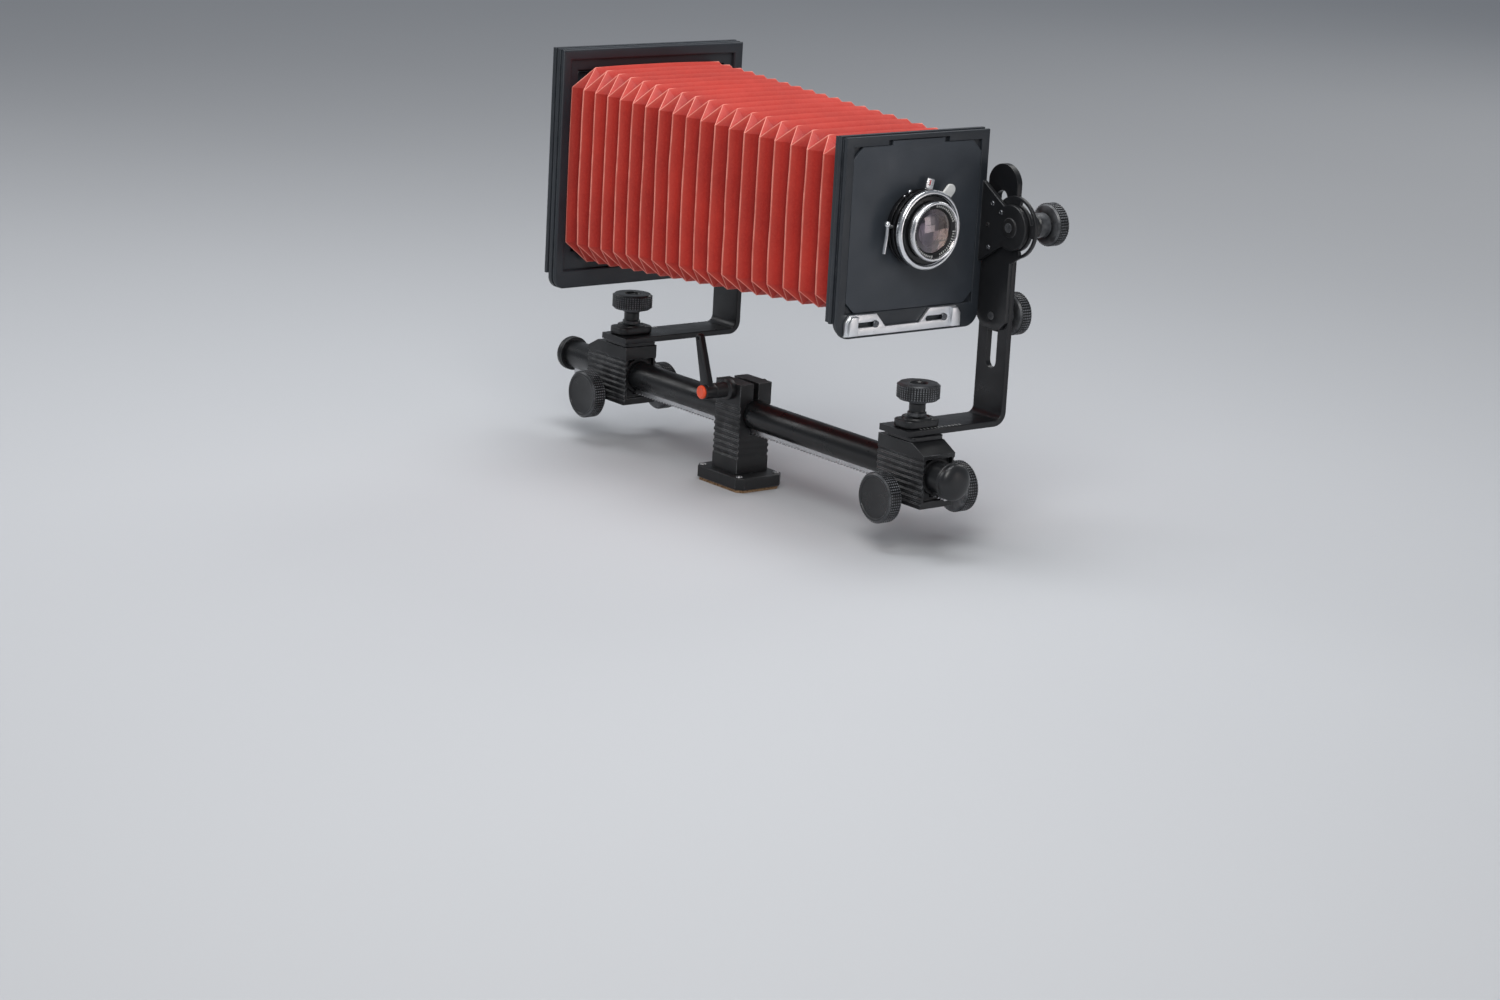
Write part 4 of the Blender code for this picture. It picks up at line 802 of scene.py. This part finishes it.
def clamp_lever():
    """The barrel across the clamp's jaws, its screw, and the tapered lever with a hole near the tip."""
    outer = 20.8
    profile = [(0, outer + 4), (6.5, outer + 4), (6.5, outer), (4, outer)]
    profile += [(4, -outer), (11, -outer), (11, -27.4), (8, -28.6)]
    profile += [(8, -42), (7.6, -42.6)]
    profile += [(7.6, -43.4), (8, -44), (8, -57), (0, -57)]
    barrel = lathe(profile, "X", LEVER, 72, 0.4)
    length = 56
    base = 7.2
    tip = 4.2
    side = math.degrees(math.asin((base - tip) / length))
    blade = arc((0, 0), base, 180 - side, 360 + side, 20) + arc((0, length), tip, side, 180 - side, 16)
    loops = turned([blade, circle((0, length - 0.6), 1.6, 24)], 18, LEVER.yz)
    arm = plate(loops, "X", -53.5, -46.5, 1.1, 3)
    piece("clamp_lever", [(barrel, MOULDED), (arm, ANODISED)], "clamp_lever")
    profile = [(0, -0.3), (7.1, -0.3), (7.1, -2), (6.2, -3), (4.4, -3.3), (4, -2.9), (0, -2.9)]
    cap = lathe(profile, "X", (-57, LEVER.y, LEVER.z), 72, 0.3)
    piece("lever_cap", [(cap, ORANGE)], "clamp_lever")


# ---------------------------------------------------------------- bearers


def bearer(end):
    """The ribbed focusing block, its recessed ends, and the liner seen inside."""
    front, rear = BLOCK[end]
    top = RAIL_Z + 32
    bottom = RAIL_Z - 31
    outline = ribbed(20.5, bottom, top, 8, bottom + 4, top - 12)
    body = plate([outline, circle((0, RAIL_Z), 18.8, 96)], "Y", front, rear, 0.7)
    cuts = []
    for face, inward in ((front, 1), (rear, -1)):
        y = sorted((face - 2 * inward, face + 6 * inward))
        cuts.append(block((-17.2, 17.2), y, (RAIL_Z - 24, RAIL_Z + 18.6), 1.4))
    sloped = front if end == "front" else rear
    inward = 1 if end == "front" else -1
    low = top - 9.5
    run = 18 * inward
    edge = -2 * inward
    wedge = [(sloped + edge, low + edge / run * 9.5), (sloped + run * 1.2, low + 11.4)]
    wedge.append((sloped + edge, top + 12))
    cuts.append(plate([wedge], "X", -26, 26, 0.01, 0))
    cuts.append(block((-5, 5), (front - 1, rear + 1), (RAIL_Z - 21.2, RAIL_Z - 10), 0))
    cuts.append(rod("X", (0, PINION_Y[end], PINION_Z), 5.2, -30, 30, 48, 0))
    piece(f"{end}_bearer", [(body, CAST)], f"{end}_block", cuts)
    start = front + 2
    stop = rear - 2
    centre = (0, 0, RAIL_Z)
    liner = pipe("Y", centre, 18.5, 15.3, start, stop, 96, 0.4)
    y = PINION_Y[end]
    low = RAIL_Z - 30
    cuts = [block((-5, 5), (start - 1, stop + 1), (low, RAIL_Z - 8), 0)]
    cuts.append(block((-8, 8), (y - 6, y + 6), (low, RAIL_Z - 12), 0))
    piece(f"{end}_bearer_sleeve", [(liner, DEEP)], f"{end}_block", cuts)


# ---------------------------------------------------------------- brackets and carriers


def bracket(end):
    """The bent strap, with its shift slot, rise slot and the white scale on the level arm."""
    swing = SWING_Y[end]
    out = OUTWARD[end]
    inner = bracket_x(end)[1]
    outer = inner + STRAP_THICK
    middle = swing + STRAP_OFFSET * out
    low = middle - STRAP_WIDTH / 2
    high = middle + STRAP_WIDTH / 2
    top = ARM_BOTTOM + STRAP_THICK
    bend = 14
    centre = (outer - bend, ARM_BOTTOM + bend)
    outline = [(-26, top), (-26, ARM_BOTTOM)] + arc(centre, bend, -90, 0, 20)
    outline += [(outer, UPRIGHT_TOP), (inner, UPRIGHT_TOP)] + arc(centre, bend - STRAP_THICK, 0, -90, 20)
    strap = plate([outline], "Y", low, high, 1.1, 3)
    shift = stadium((0, swing), BOLT_BORE, 15, False)
    cuts = [plate([shift], "Z", ARM_BOTTOM - 1, top + 1, 0.01, 0)]
    slot_low = RAIL_Z + 92
    slot_high = RAIL_Z + 271
    rise = stadium((middle, (slot_low + slot_high) / 2), 7.5, (slot_high - slot_low) / 2 - 7.5)
    cuts.append(plate([rise], "X", inner - 1, outer + 1, 0.01, 0))
    shoulder = UPRIGHT_TOP - STRAP_WIDTH / 2
    crown = arc((middle, shoulder), STRAP_WIDTH / 2, 0, 180, 40)
    crown += [(low - 2, shoulder), (low - 2, UPRIGHT_TOP + 2)]
    crown += [(high + 2, UPRIGHT_TOP + 2), (high + 2, shoulder)]
    cuts.append(plate([crown], "X", inner - 1, outer + 1, 0.01, 0))
    piece(f"{end}_bracket", [(strap, ANODISED)], f"{end}_bracket", cuts)
    ticks = []
    for i in range(12):
        x = -6 + i * 4.6
        length = 3.4 if i % 5 else 4.6
        edge = low if out > 0 else high
        y = sorted((edge + 1.8 * out, edge + (1.8 + length) * out))
        ticks.append((block((x - 0.4, x + 0.4), y, (top - 0.3, top + 0.08), 0), WHITE))
    piece(f"{end}_shift_scale", ticks, f"{end}_bracket", node=False)


def carrier(end):
    """The plate that slides on the upright: arc-slotted head and key in the rise slot."""
    swing = SWING_Y[end]
    out = OUTWARD[end]
    inner = bracket_x(end)[0]
    thick = 3.7
    far = STRAP_OFFSET + STRAP_WIDTH / 2
    near = far - STRAP_WIDTH
    foot = -105
    head = 31
    middle = far - STRAP_WIDTH / 2
    outline = [(near + 8, foot), (far - 8, foot), (far, foot + 9), (far, -6)]
    outline += arc((TILT_OFFSET, 0), head, 20, 250, 60)
    outline += [(near, -head - 6), (near, foot + 9)]
    loops = [outline, circle((TILT_OFFSET, 0), TILT_BORE), circle((middle, -93), BOLT_BORE)]
    for first, last in ((105, 165), (195, 250)):
        slot = arc((TILT_OFFSET, 0), 24, first, last, 20)
        loops.append(slot + arc((TILT_OFFSET, 0), 28, last, first, 20))
    face = plate(moved(loops, swing, TILT_Z, out), "X", inner, inner + thick, 0.6)
    key_y = swing + middle * out
    key = [rectangle(7.2, 15, (key_y, RISE_LOCK_Z)), circle((key_y, RISE_LOCK_Z), BOLT_BORE)]
    parts = [(face, MOULDED)]
    parts.append((plate(key, "X", inner + thick - 0.6, inner + thick + STRAP_THICK - 0.2, 0.4), MOULDED))
    piece(f"{end}_rise_carrier", parts, f"{end}_carrier")


# ---------------------------------------------------------------- standards


def frame_outline(half, foot, radius):
    """A plate with square upper corners and round lower ones."""
    left = arc((-half + radius, TILT_Z - foot + radius), radius, 180, 270, 14)
    right = arc((half - radius, TILT_Z - foot + radius), radius, 270, 360, 14)
    return left + right + [(half, TILT_Z + half), (-half, TILT_Z + half)]


def standard(end, layers):
    """The frame of a standard with its tilt arm.

    Each layer is an outline, its opening, two depths measured from the lipped face towards +Y, and
    optionally the radius of its edges and their smoothness.
    """
    parts = []
    for outline, hole, near, far, *edge in layers:
        layer = plate([outline, hole], "Y", LIP[end] + near, LIP[end] + far, *(edge or [0.6]))
        parts.append((layer, FRAME))
    piece(f"{end}_frame", parts + tilt_arm(end), f"{end}_standard")


def tilt_arm(end):
    """The triangular cheek from the frame's side to the tilt bolt, with its screws."""
    swing = SWING_Y[end]
    out = OUTWARD[end]
    half = HALF[end]
    tilt = swing + TILT_OFFSET * out
    root = abs(FACE[end] - tilt) + 9.5
    outline = [(root, 46)] + arc((0, 0), 22.5, 62, 298, 48) + [(root, -46)]
    inner = half - 5.6
    loops = moved([outline, circle((0, 0), TILT_BORE)], tilt, TILT_Z, out)
    parts = [(plate(loops, "X", inner, half - 0.2, 0.8), MOULDED)]
    boss = [(3.4, -1.2), (9, -1.2), (10, 0.6), (3.4, 0.6)]
    parts.append((lathe(boss, "X", (inner, tilt, TILT_Z), 48, 0.3), DEEP))
    for y, z in ((27, 20), (32, -2), (29, -24), (14, 13)):
        place = (inner, tilt + y * out, TILT_Z + z)
        parts.append((screw_head(place, "X", 2.4, 1.1, -1), BLUED if y < 30 else DEEP))
    return parts


def front_frame():
    """The smaller standard: a lip round the lens board, with a notch for the board's tongue."""
    half = HALF["front"]
    foot = FOOT["front"]
    radius = 16
    opening = 81.3
    high = TILT_Z + opening
    notch = 39
    hole = [(-opening, TILT_Z - opening), (opening, TILT_Z - opening), (opening, high), (notch, high)]
    hole += [(notch, high + 5), (-notch, high + 5), (-notch, high), (-opening, high)]
    ledge = window(73, 73)
    seat = window(70, 70)
    standard("front", (
        (frame_outline(half - 0.6, foot, radius), hole, 0, 4.2, 0.8, 3),
        (frame_outline(half - 2.6, foot - 1.2, radius), ledge, 3.6, 9, 0.4),
        (window(half, half), seat, 8.4, 13),
        (window(half - 1, half - 1), seat, 12.6, FRAME_DEPTH),
    ))


def rear_frame():
    """The larger standard: a sloping picture-frame rim towards the bellows, and the seat for the back."""
    half = HALF["rear"]
    foot = FOOT["rear"]
    radius = 13
    rim = frame_outline(half - 0.6, foot, radius)
    ledge = window(96, 96)
    seat = window(93, 93)
    standard("rear", (
        (rim, rectangle(106.5, 110.8, (0, TILT_Z - 4.2)), 0, 4.8, 2.4, 4),
        (frame_outline(half - 2.6, foot - 1.2, radius), ledge, 4.2, 9, 0.4),
        (rim, ledge, 6.4, 12),
        (window(half - 2.2, half - 2.2), seat, 11.4, 14),
        (window(half, half), seat, 13.4, FRAME_DEPTH, 0.8),
    ))


def board_lock():
    """The sliding chrome bar under the lens board, with folded grips, slots and screws."""
    middle = -10
    low = TILT_Z - 103
    high = TILT_Z - 82
    dip = TILT_Z - 95.5
    half = 73
    right = [(half, low), (half, high - 7), (half - 5, high), (34, high), (22, dip)]
    outline = right + [(-x, z) for x, z in reversed(right)]
    z = TILT_Z - 92.5
    slots = [stadium((x, z), 2.4, 11, False) for x in (-45, 43)]
    back = FACE["front"] - 0.3
    parts = [(plate(moved([outline, *slots], middle, 0), "Y", back - 3.4, back, 0.6), SILVER)]
    for side in (-1, 1):
        grip = [(60, low + 1), (71, low + 1), (71, high - 7), (67, high - 1), (60, high - 1)]
        parts.append((plate(moved([grip], middle, 0, side), "Y", back - 8, back - 3, 0.9), SILVER))
    piece("board_lock", parts, "board_lock")
    for name, x in (("lock_screw_left", -45), ("lock_screw_right", 43)):
        y = FACE["front"]
        profile = [(0, 4), (2, 4), (2, -4), (3.6, -4), (3.4, -5.2)]
        profile += [(2.2, -5.6), (1.6, -5.6), (1.5, -4.6), (0, -4.6)]
        head = lathe(profile, "Y", (x, y, z), 32, 0.15)
        piece(name, [(head, BLUED)], "front_standard")


def bellows_rings():
    """Depth and sizes of every fold line, from the rear standard forwards, with its share of the way."""
    folds = 2 * BELLOWS_PLEATS
    rear = LIP["rear"] + 4.6
    front = FACE["front"] + FRAME_DEPTH + 0.3
    steps = [1 + 0.24 * i / folds for i in range(folds)]
    total = sum(steps)
    places = [0.0]
    for step in steps:
        places.append(places[-1] + step / total)
    rings = []
    for k, t in enumerate(places):
        size = 103.5 - 20 * t
        chamfer = 22 - 6.5 * t
        side = size - (10.5 if k % 2 else 0)
        top = size - (0 if k % 2 else 7.5)
        rings.append((rear + (front - rear) * t, -3.6 * (1 - t), size, chamfer, side, top, t))
    return rings


def bellows():
    """One continuous pleated tube: side folds and top folds alternate, and meet in triangles at the corners.

    It rides with the rear standard, and a hook draws it towards the front standard in proportion to depth.
    """
    across = 14  # faces across one flat side
    bulge = 0.9
    unevenness = 0.6
    noise.seed_set(11)  # without a seed its vectors follow the clock
    mesh = bpy.data.meshes.new("bellows")
    bm = bmesh.new()
    ridge = bm.verts.layers.float.new("ridge")
    pull = []
    loops = []
    for k, (y, drop, size, chamfer, side, top, t) in enumerate(bellows_rings()):
        out = k % 2 == 0
        points = []
        for turn in range(4):
            upright = turn % 2 == 0
            wide = side if upright else top
            stands = out == upright
            reach = size - chamfer
            for i in range(across + 1):
                share = 2 * i / across - 1
                sag = bulge * (1 - share * share) * (1 if stands else -0.6)
                x, z = wide + sag, reach * share
                for _ in range(turn):
                    x, z = -z, x
                # Value for the cloth's painted light: 1 on the ridges of the sides and at the corners, 0.9 on
                # the ridges of the top and bottom, where the painted highlight line hardly shows, and 0 in
                # the inward folds, which get painted shade.
                ridge_highlight = 1.0 if upright or i in (0, across) else 0.9
                points.append((x, z, ridge_highlight if stands else 0.0))
        loop = []
        for x, z, up in points:
            where = Vector((x, y, z))
            jitter = Vector(noise.noise_vector(where * 0.022 + Vector((k * 1.7, 0, 0)))) * unevenness
            if t in (0.0, 1.0):  # the ends are glued to their frames
                jitter *= 0.1
            vert = bm.verts.new((x + jitter.x, y + jitter.y * 1.2, TILT_Z + drop + z + jitter.z * 0.5))
            vert[ridge] = up
            pull.append(t)
            loop.append(vert)
        loops.append(loop)
    size = across + 1
    for k, (back, ahead) in enumerate(zip(loops, loops[1:])):
        for s in range(4):
            start = s * size
            for i in range(start, start + across):
                bm.faces.new((back[i], back[i + 1], ahead[i + 1], ahead[i]))
            i = start + across
            j = (i + 1) % len(back)
            side_first = (k % 2 == 0) == (s % 2 == 0)
            if side_first:
                bm.faces.new((back[i], ahead[j], ahead[i]))
                bm.faces.new((back[i], back[j], ahead[j]))
            else:
                bm.faces.new((back[i], back[j], ahead[i]))
                bm.faces.new((back[j], ahead[j], ahead[i]))
    bmesh.ops.recalc_face_normals(bm, faces=bm.faces)
    bm.to_mesh(mesh)
    bm.free()
    mesh.transform(Matrix.Scale(UNIT, 4))
    mesh.materials.append(CLOTH)
    obj = new_object("bellows", mesh)
    group = obj.vertex_groups.new(name="front")
    for index, weight in enumerate(pull):
        group.add([index], weight, "REPLACE")
    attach(obj, "rear_standard")
    hook = obj.modifiers.new("front standard", "HOOK")
    hook.object = frame["bodies"]["front_standard"]
    hook.vertex_group = "front"
    hook.matrix_inverse = Matrix.Identity(4)
    hook.falloff_type = "NONE"
    skin = obj.modifiers.new("cloth", "SOLIDIFY")
    skin.thickness = 0.5 * UNIT
    skin.offset = -1
    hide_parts("bellows")


# ---------------------------------------------------------------- lens


def lens_board():
    """The board with cut corners and a tongue on top, and the ring behind it that holds the shutter."""
    high = TILT_Z + 81
    outline = window(81, 81, 11)
    tongue = [(33, high), (33, high + 4.4), (-33, high + 4.4), (-33, high)]
    outline = outline[:4] + tongue + outline[4:]
    start = FACE["front"] + 0.3
    board = plate([outline, circle((0, TILT_Z), 21, 64)], "Y", start, start + 3, 0.45)
    piece("lens_board", [(board, BOARD)], "front_standard")
    ring = pipe("Y", LENS, 25, 21, 3.6, 6.6, 72)
    piece("retaining_ring", [(ring, BRASS)], "front_standard")


def around(angle, radius, depth):
    """A place on the front standard, angle clockwise from straight up as seen from the front."""
    a = math.radians(angle)
    return Vector((radius * math.sin(a), FACE["front"] + depth, TILT_Z + radius * math.cos(a)))


def shutter():
    """The leaf shutter: its drum with depth ticks and two posts, then its rings, lever and lens cells."""
    drum = [(19, 9), (20.7, 9), (20.7, 0), (36, 0), (36, -18), (33.2, -18), (33.2, -22.8), (19, -22.8)]
    parts = [(lathe(drum, "Y", LENS, 128, 0.4), GLOSS)]
    for i in range(9):
        parts.append((bar(0.3, 1.1, 0.25, -60 + i * 6, 36.1, -16.2), WHITE))
    for angle, radius, reach in ((-22, 2.1, 4.5), (-33, 1.3, 3.2)):
        profile = [(0, reach), (0.7 * radius, reach), (radius, 0.8 * reach), (radius, -1), (0, -1)]
        post = lathe(profile, "Z", (0, 0, 0), 32, 0.2)
        parts.append((set_round(post, angle, 36, -6.4), CHROME))
    piece("shutter_body", parts, "front_standard")
    bezel()
    control_ring("aperture_ring", -8, -4.5, 14, 49, 4.6, True)
    control_ring("cocking_ring", -14, -10.5, 42, 52, 5.5, False)
    release_lever()
    cells()


def set_round(bm, angle, radius, depth, spin=None):
    """Moves a shape from the origin to its place round the lens, its top turned outwards or by spin."""
    turn = math.radians(angle if spin is None else spin)
    bm.transform(Matrix.Translation(around(angle, radius, depth)) @ Matrix.Rotation(turn, 4, "Y"))
    return bm


def bar(half_width, half_depth, half_length, angle, radius, depth):
    """A small raised bar that points outwards from the lens's middle."""
    sides = [(-half, half) for half in (half_width, half_depth, half_length)]
    return set_round(block(*sides, 0), angle, radius, depth)


def bezel():
    """The bright milled rim round the drum."""
    r = 39.5
    profile = [(33.8, -18.3), (r - 1, -18.3), (r, -19.2), (r, -21.6)]
    profile += [(r - 0.5, -23.2), (r - 2, -24.4), (r - 3.4, -24.6)]
    profile += [(35.4, -24.2), (34.8, -23.2), (33.8, -22.6)]
    rim = 39.3

    def milled(radius, height, i):
        return radius - 0.3 if radius > rim and height > -22 and i % 4 < 2 else radius

    parts = [(lathe(profile, "Y", LENS, 320, 0.3, milled), CHROME)]
    piece("speed_ring", parts, "speed_ring")


def control_ring(name, near, far, angle, reach, half_width, marked):
    """A ring round the drum with one finger tab."""
    outer = 38.2
    parts = [(pipe("Y", LENS, outer, 36.6, near, far, 128, 0.3), GLOSS)]
    tab = [(-half_width, outer - 0.9), (half_width, outer - 0.9)]
    if marked:
        tab += [(half_width, reach - 1), (half_width - 1, reach)]
        tab += [(-half_width + 1, reach), (-half_width, reach - 1)]
    else:
        tab += arc((0, reach - half_width * 0.6), half_width, 0, 180, 16)
    loops = turned([tab], angle, (0, TILT_Z))
    start = FACE["front"] + near + 0.3
    end = FACE["front"] + far - 0.3
    parts.append((plate(loops, "Y", start, end, 0.5, 3), CHROME if marked else WHITE))
    if marked:
        line = block((-0.6, 0.6), (-0.15, 0.15), (-2.6, 2.6), 0)
        parts.append((set_round(line, angle - 1, 44.6, near + 0.2, angle), RED))
        parts.append((grip_lines(angle, near), SATIN))
    piece(name, parts, name)


def grip_lines(angle, near):
    """Three fine ribs near the end of a tab."""
    ribs = []
    for i in range(3):
        rib = block((-3.2, -0.9), (-0.3, 0.2), (-0.3, 0.3), 0)
        ribs.append(set_round(rib, angle, 42.4 + i * 1.9, near + 0.3))
    return merged(ribs)


def release_lever():
    """The bright thumb lever on the left of the drum, with its ball and pivot post."""
    y = FACE["front"] - 11
    x = -43
    z = TILT_Z + 4
    path = eased([(x - 0.6, y, z), (x - 1, y, z - 8), (x - 3.6, y, z - 26)], 3)
    parts = [(wire(path, 2), CHROME)]
    ball = [(0, 3.4)]
    ball += [(3.4 * math.sin(t * math.pi / 12), 3.4 * math.cos(t * math.pi / 12)) for t in range(1, 12)]
    ball.append((0, -3.4))
    parts.append((lathe(ball, "Z", (x - 1, y, z + 2.4), 32, 0), CHROME))
    post = rod("X", (0, y, z), 1.6, x, -35.5, 24)
    parts.append((post, SATIN))
    piece("release_lever", parts, "release_lever")


def cells():
    """Front and rear lens cells: black barrels, bright front rim, dial ring and glass."""
    r = 29.3
    barrel = [(16, -14), (18.7, -14), (18.7, -23.1), (r - 1.4, -23.1)]
    barrel += [(r - 0.9, -24.5), (r - 0.9, -30), (r - 2.4, -30.8)]
    barrel += [(22.4, -28.4), (21.8, -25), (16, -25)]
    parts = [(lathe(barrel, "Y", LENS, 128, 0.2), DEEP)]
    rim = [(r - 3.2, -30.4), (r - 0.7, -26), (r, -26.4), (r, -32), (r - 0.8, -33), (r - 2.4, -33)]
    parts.append((lathe(rim, "Y", LENS, 128, 0.3), CHROME))
    for i in range(60):
        if i % 15 < 12:
            length = 0.85 if i % 3 else 1.1
            parts.append((bar(0.35, 0.2, length, i * 6 + 3, 24.6, -30.05), WHITE))
    piece("front_lens_cell", parts, "front_standard")
    g = 21.5
    front = [(0, -30.7)]
    for i in range(1, 9):
        t = i / 8
        front.append((g * t, -30.7 + 3.2 * t * t))
    front += [(g, -25.3), (0, -26.3)]
    piece("front_lens_glass", [(lathe(front, "Y", LENS, 96, 0), GLASS)], "front_standard")
    iris()
    rear = [(17.3, 27), (21.5, 27), (22.5, 26), (22.5, 10)]
    rear += [(18.7, 9.3), (18.7, -6), (15, -6), (15, 20), (17.3, 20)]
    piece("rear_lens_cell", [(lathe(rear, "Y", LENS, 96, 0.3), DEEP)], "front_standard")
    back = [(0, 25.6), (8.5, 25), (14, 24), (17, 23.4), (17, 20.3), (0, 20.3)]
    piece("rear_lens_glass", [(lathe(back, "Y", LENS, 72, 0), GLASS)], "front_standard")


def iris():
    """Five overlapping blades behind the front glass, nearly closed, that show through it."""
    blades = []
    count = 5
    for i in range(count):
        start = 360 * i / count
        tip = math.radians(start + 130)
        outline = arc((0, TILT_Z), 17.5, start, start + 100, 16)
        outline.append((2.2 * math.cos(tip), TILT_Z + 2.2 * math.sin(tip)))
        y = FACE["front"] - 12 - i * 0.35
        blades.append(plate([outline], "Y", y - 0.12, y + 0.12, 0.03, 0))
    piece("shutter_blades", [(merged(blades), SATIN)], "front_standard", node=False)


# ---------------------------------------------------------------- focusing back


def focusing_back():
    """The plate in the rear frame, the spring back with its ruled ground glass, and both bails."""
    start = FACE["rear"] - 4
    face = start + 8
    parts = [(plate([window(92, 92, 6), window(63.5, 51)], "Y", start, face, 0.8), BOARD)]
    hinge_y = FACE["rear"] + 9.5
    hinge_z = TILT_Z - 58
    for side in (-1, 1):
        lug = [(face - 1, hinge_z - 4.5), (hinge_y + 4.5, hinge_z - 4.5)]
        lug += [(hinge_y + 4.5, hinge_z + 4.5), (face - 1, hinge_z + 4.5)]
        hole = circle((hinge_y, hinge_z), 2.3, 24)
        parts.append((plate([lug, hole], "X", *sorted((side * 87, side * 90.5)), 0.5), BOARD))
        for z in (-78, 78):
            parts.append((screw_head((side * 78, face, TILT_Z + z), "Y", 3, 1.3), SATIN))
    piece("back_plate", parts, "rear_standard")
    start = face + 0.3
    stop = start + 8
    parts = [(plate([window(80, 70, 5), window(67, 54.5)], "Y", start, stop, 0.8), BOARD)]
    for side in (-1, 1):
        across = sorted((side * 69, side * 72.5))
        parts.append((block(across, (stop - 0.6, stop + 1.1), (TILT_Z - 60, TILT_Z + 60)), SATIN))
        for z in (-63.5, 63.5):
            parts.append((screw_head((side * 60, stop, TILT_Z + z), "Y", 2.4, 1), SATIN))
            clip = rectangle(6, 4, (side * 30, TILT_Z + z * 0.9), 1.5)
            parts.append((plate([clip], "Y", stop - 0.4, stop + 1, 0.3), SATIN))
    piece("spring_back", parts, "spring_back")
    start = FACE["rear"] + 6
    top = start + 2.5
    parts = [(plate([window(66.7, 54.2, 9)], "Y", start, top, 0.25), SCREEN)]
    for i in range(-6, 7):
        x = i * 10
        reach = 44 if abs(i) == 6 else 53
        line = block((x - 0.12, x + 0.12), (top - 0.1, top + 0.04), (TILT_Z - reach, TILT_Z + reach), 0)
        parts.append((line, INK))
    for i in range(-5, 6):
        z = TILT_Z + i * 10
        reach = 56 if abs(i) == 5 else 65.5
        line = block((-reach, reach), (top - 0.1, top + 0.05), (z - 0.12, z + 0.12), 0)
        parts.append((line, INK))
    piece("ground_glass", parts, "spring_back")
    for name, side in (("bail_left", -1), ("bail_right", 1)):
        x = side * 84.5
        path = [(7, 0, 0), (0, 0, 0), (0, 4, 9), (0, 4, 22), (0, 6, 40)]
        path += [(0, 11, 55), (0, 12, 68), (0, 10, 82), (0, 14, 92)]
        points = [(x + side * a, hinge_y + b, hinge_z + c) for a, b, c in path]
        bow = wire(eased(points, 4), 2, 4)
        piece(name, [(bow, CHROME)], name)


# ---------------------------------------------------------------- stage


def stage():
    """Pale floor with a faint glow far off, studio lights and the camera."""
    floor = bpy.data.meshes.new("floor")
    bm = bmesh.new()
    bmesh.ops.create_grid(bm, x_segments=2, y_segments=2, size=40)
    bm.to_mesh(floor)
    bm.free()
    look = Look("stage_floor")
    colour = look.mix(look.noise(0.6, 2), (0.52, 0.53, 0.55), (0.56, 0.57, 0.59))
    spot = look.add("ShaderNodeNewGeometry").outputs["Position"]
    reach = look.add("ShaderNodeVectorMath", {0: spot}, operation="LENGTH").outputs["Value"]
    glow = look.ramp(reach, 0.0, 0.14, 2.2, 9.0)
    look.set(Base_Color=colour, Roughness=0.8, Specular_IOR_Level=0.0)
    look.set(Emission_Color=HAZE, Emission_Strength=glow)
    floor.materials.append(look.material)
    plane = new_object("stage_floor", floor)
    plane.location.z = -0.1 * UNIT
    world = bpy.data.worlds.new("studio")
    world.use_nodes = True
    backdrop = world.node_tree.nodes["Background"]
    backdrop.inputs["Color"].default_value = HAZE
    backdrop.inputs["Strength"].default_value = 0.34
    bpy.context.scene.world = world
    bpy.context.scene.view_settings.view_transform = "Standard"
    soft_box("key", (-1.3, -1.5, 1.9), 1.2, 30, (1, 0.985, 0.96))
    soft_box("top", (-0.1, 0.1, 2.0), 1.3, 26, (0.97, 0.985, 1))
    soft_box("back", (-1.2, 2.2, 1.6), 1.2, 10, (1, 1, 1))
    soft_box("side", (3.5, 1.0, 2.6), 1.8, 30, (1, 0.99, 0.97))
    for x, z, power in ((0.72, 0.12, 0.5), (1.04, 0.12, 0.35), (0.72, 0.44, 0.55), (1.04, 0.44, 0.12)):
        pane = soft_box("window", (x, -1.72, z), 0.29, power, (1, 0.9, 0.86))
        pane.visible_diffuse = False
    camera()


def soft_box(name, place, size, power, tone):
    """A square light aimed at the object's middle."""
    light = bpy.data.lights.new(name, "AREA")
    light.shape = "SQUARE"
    light.size = size
    light.energy = power
    light.color = tone
    obj = new_object(name, light)
    obj.location = place
    aim = Vector((0, -0.05, 0.22)) - Vector(place)
    obj.rotation_euler = aim.to_track_quat("-Z", "Y").to_euler()
    return obj


def camera():
    """The viewing angle of the reference: from the left of the lens, a little above, slightly rolled."""
    turn, rise, roll = (math.radians(angle) for angle in (-38.8, 14.3, -3.2))
    back = Vector((math.sin(turn) * math.cos(rise), -math.cos(turn) * math.cos(rise), math.sin(rise)))
    right = Vector((math.cos(turn), math.sin(turn), 0))
    up = back.cross(right)
    right, up = (
        math.cos(roll) * right - math.sin(roll) * up,
        math.sin(roll) * right + math.cos(roll) * up,
    )
    basis = Matrix((right, up, back)).transposed()
    target = Vector((0, -274, 74.5)) * UNIT  # a point on the rail below the lens
    seen = Vector((160.4, 27.5, -3586.7)) * UNIT  # where that point lies in the camera's own axes
    lens = bpy.data.cameras.new("camera")
    lens.sensor_width = 36
    lens.lens = 87.4608
    lens.clip_end = 100
    obj = new_object("camera", lens)
    obj.matrix_world = Matrix.Translation(target - basis @ seen) @ basis.to_4x4()
    bpy.context.scene.camera = obj


rail()
clamp()
clamp_lever()
for end in ("front", "rear"):
    bearer(end)
    focus_knobs(end)
    swing_lock(end)
    bracket(end)
    carrier(end)
    side_locks(end)
front_frame()
rear_frame()
board_lock()
lens_board()
shutter()
bellows()
focusing_back()
stage()
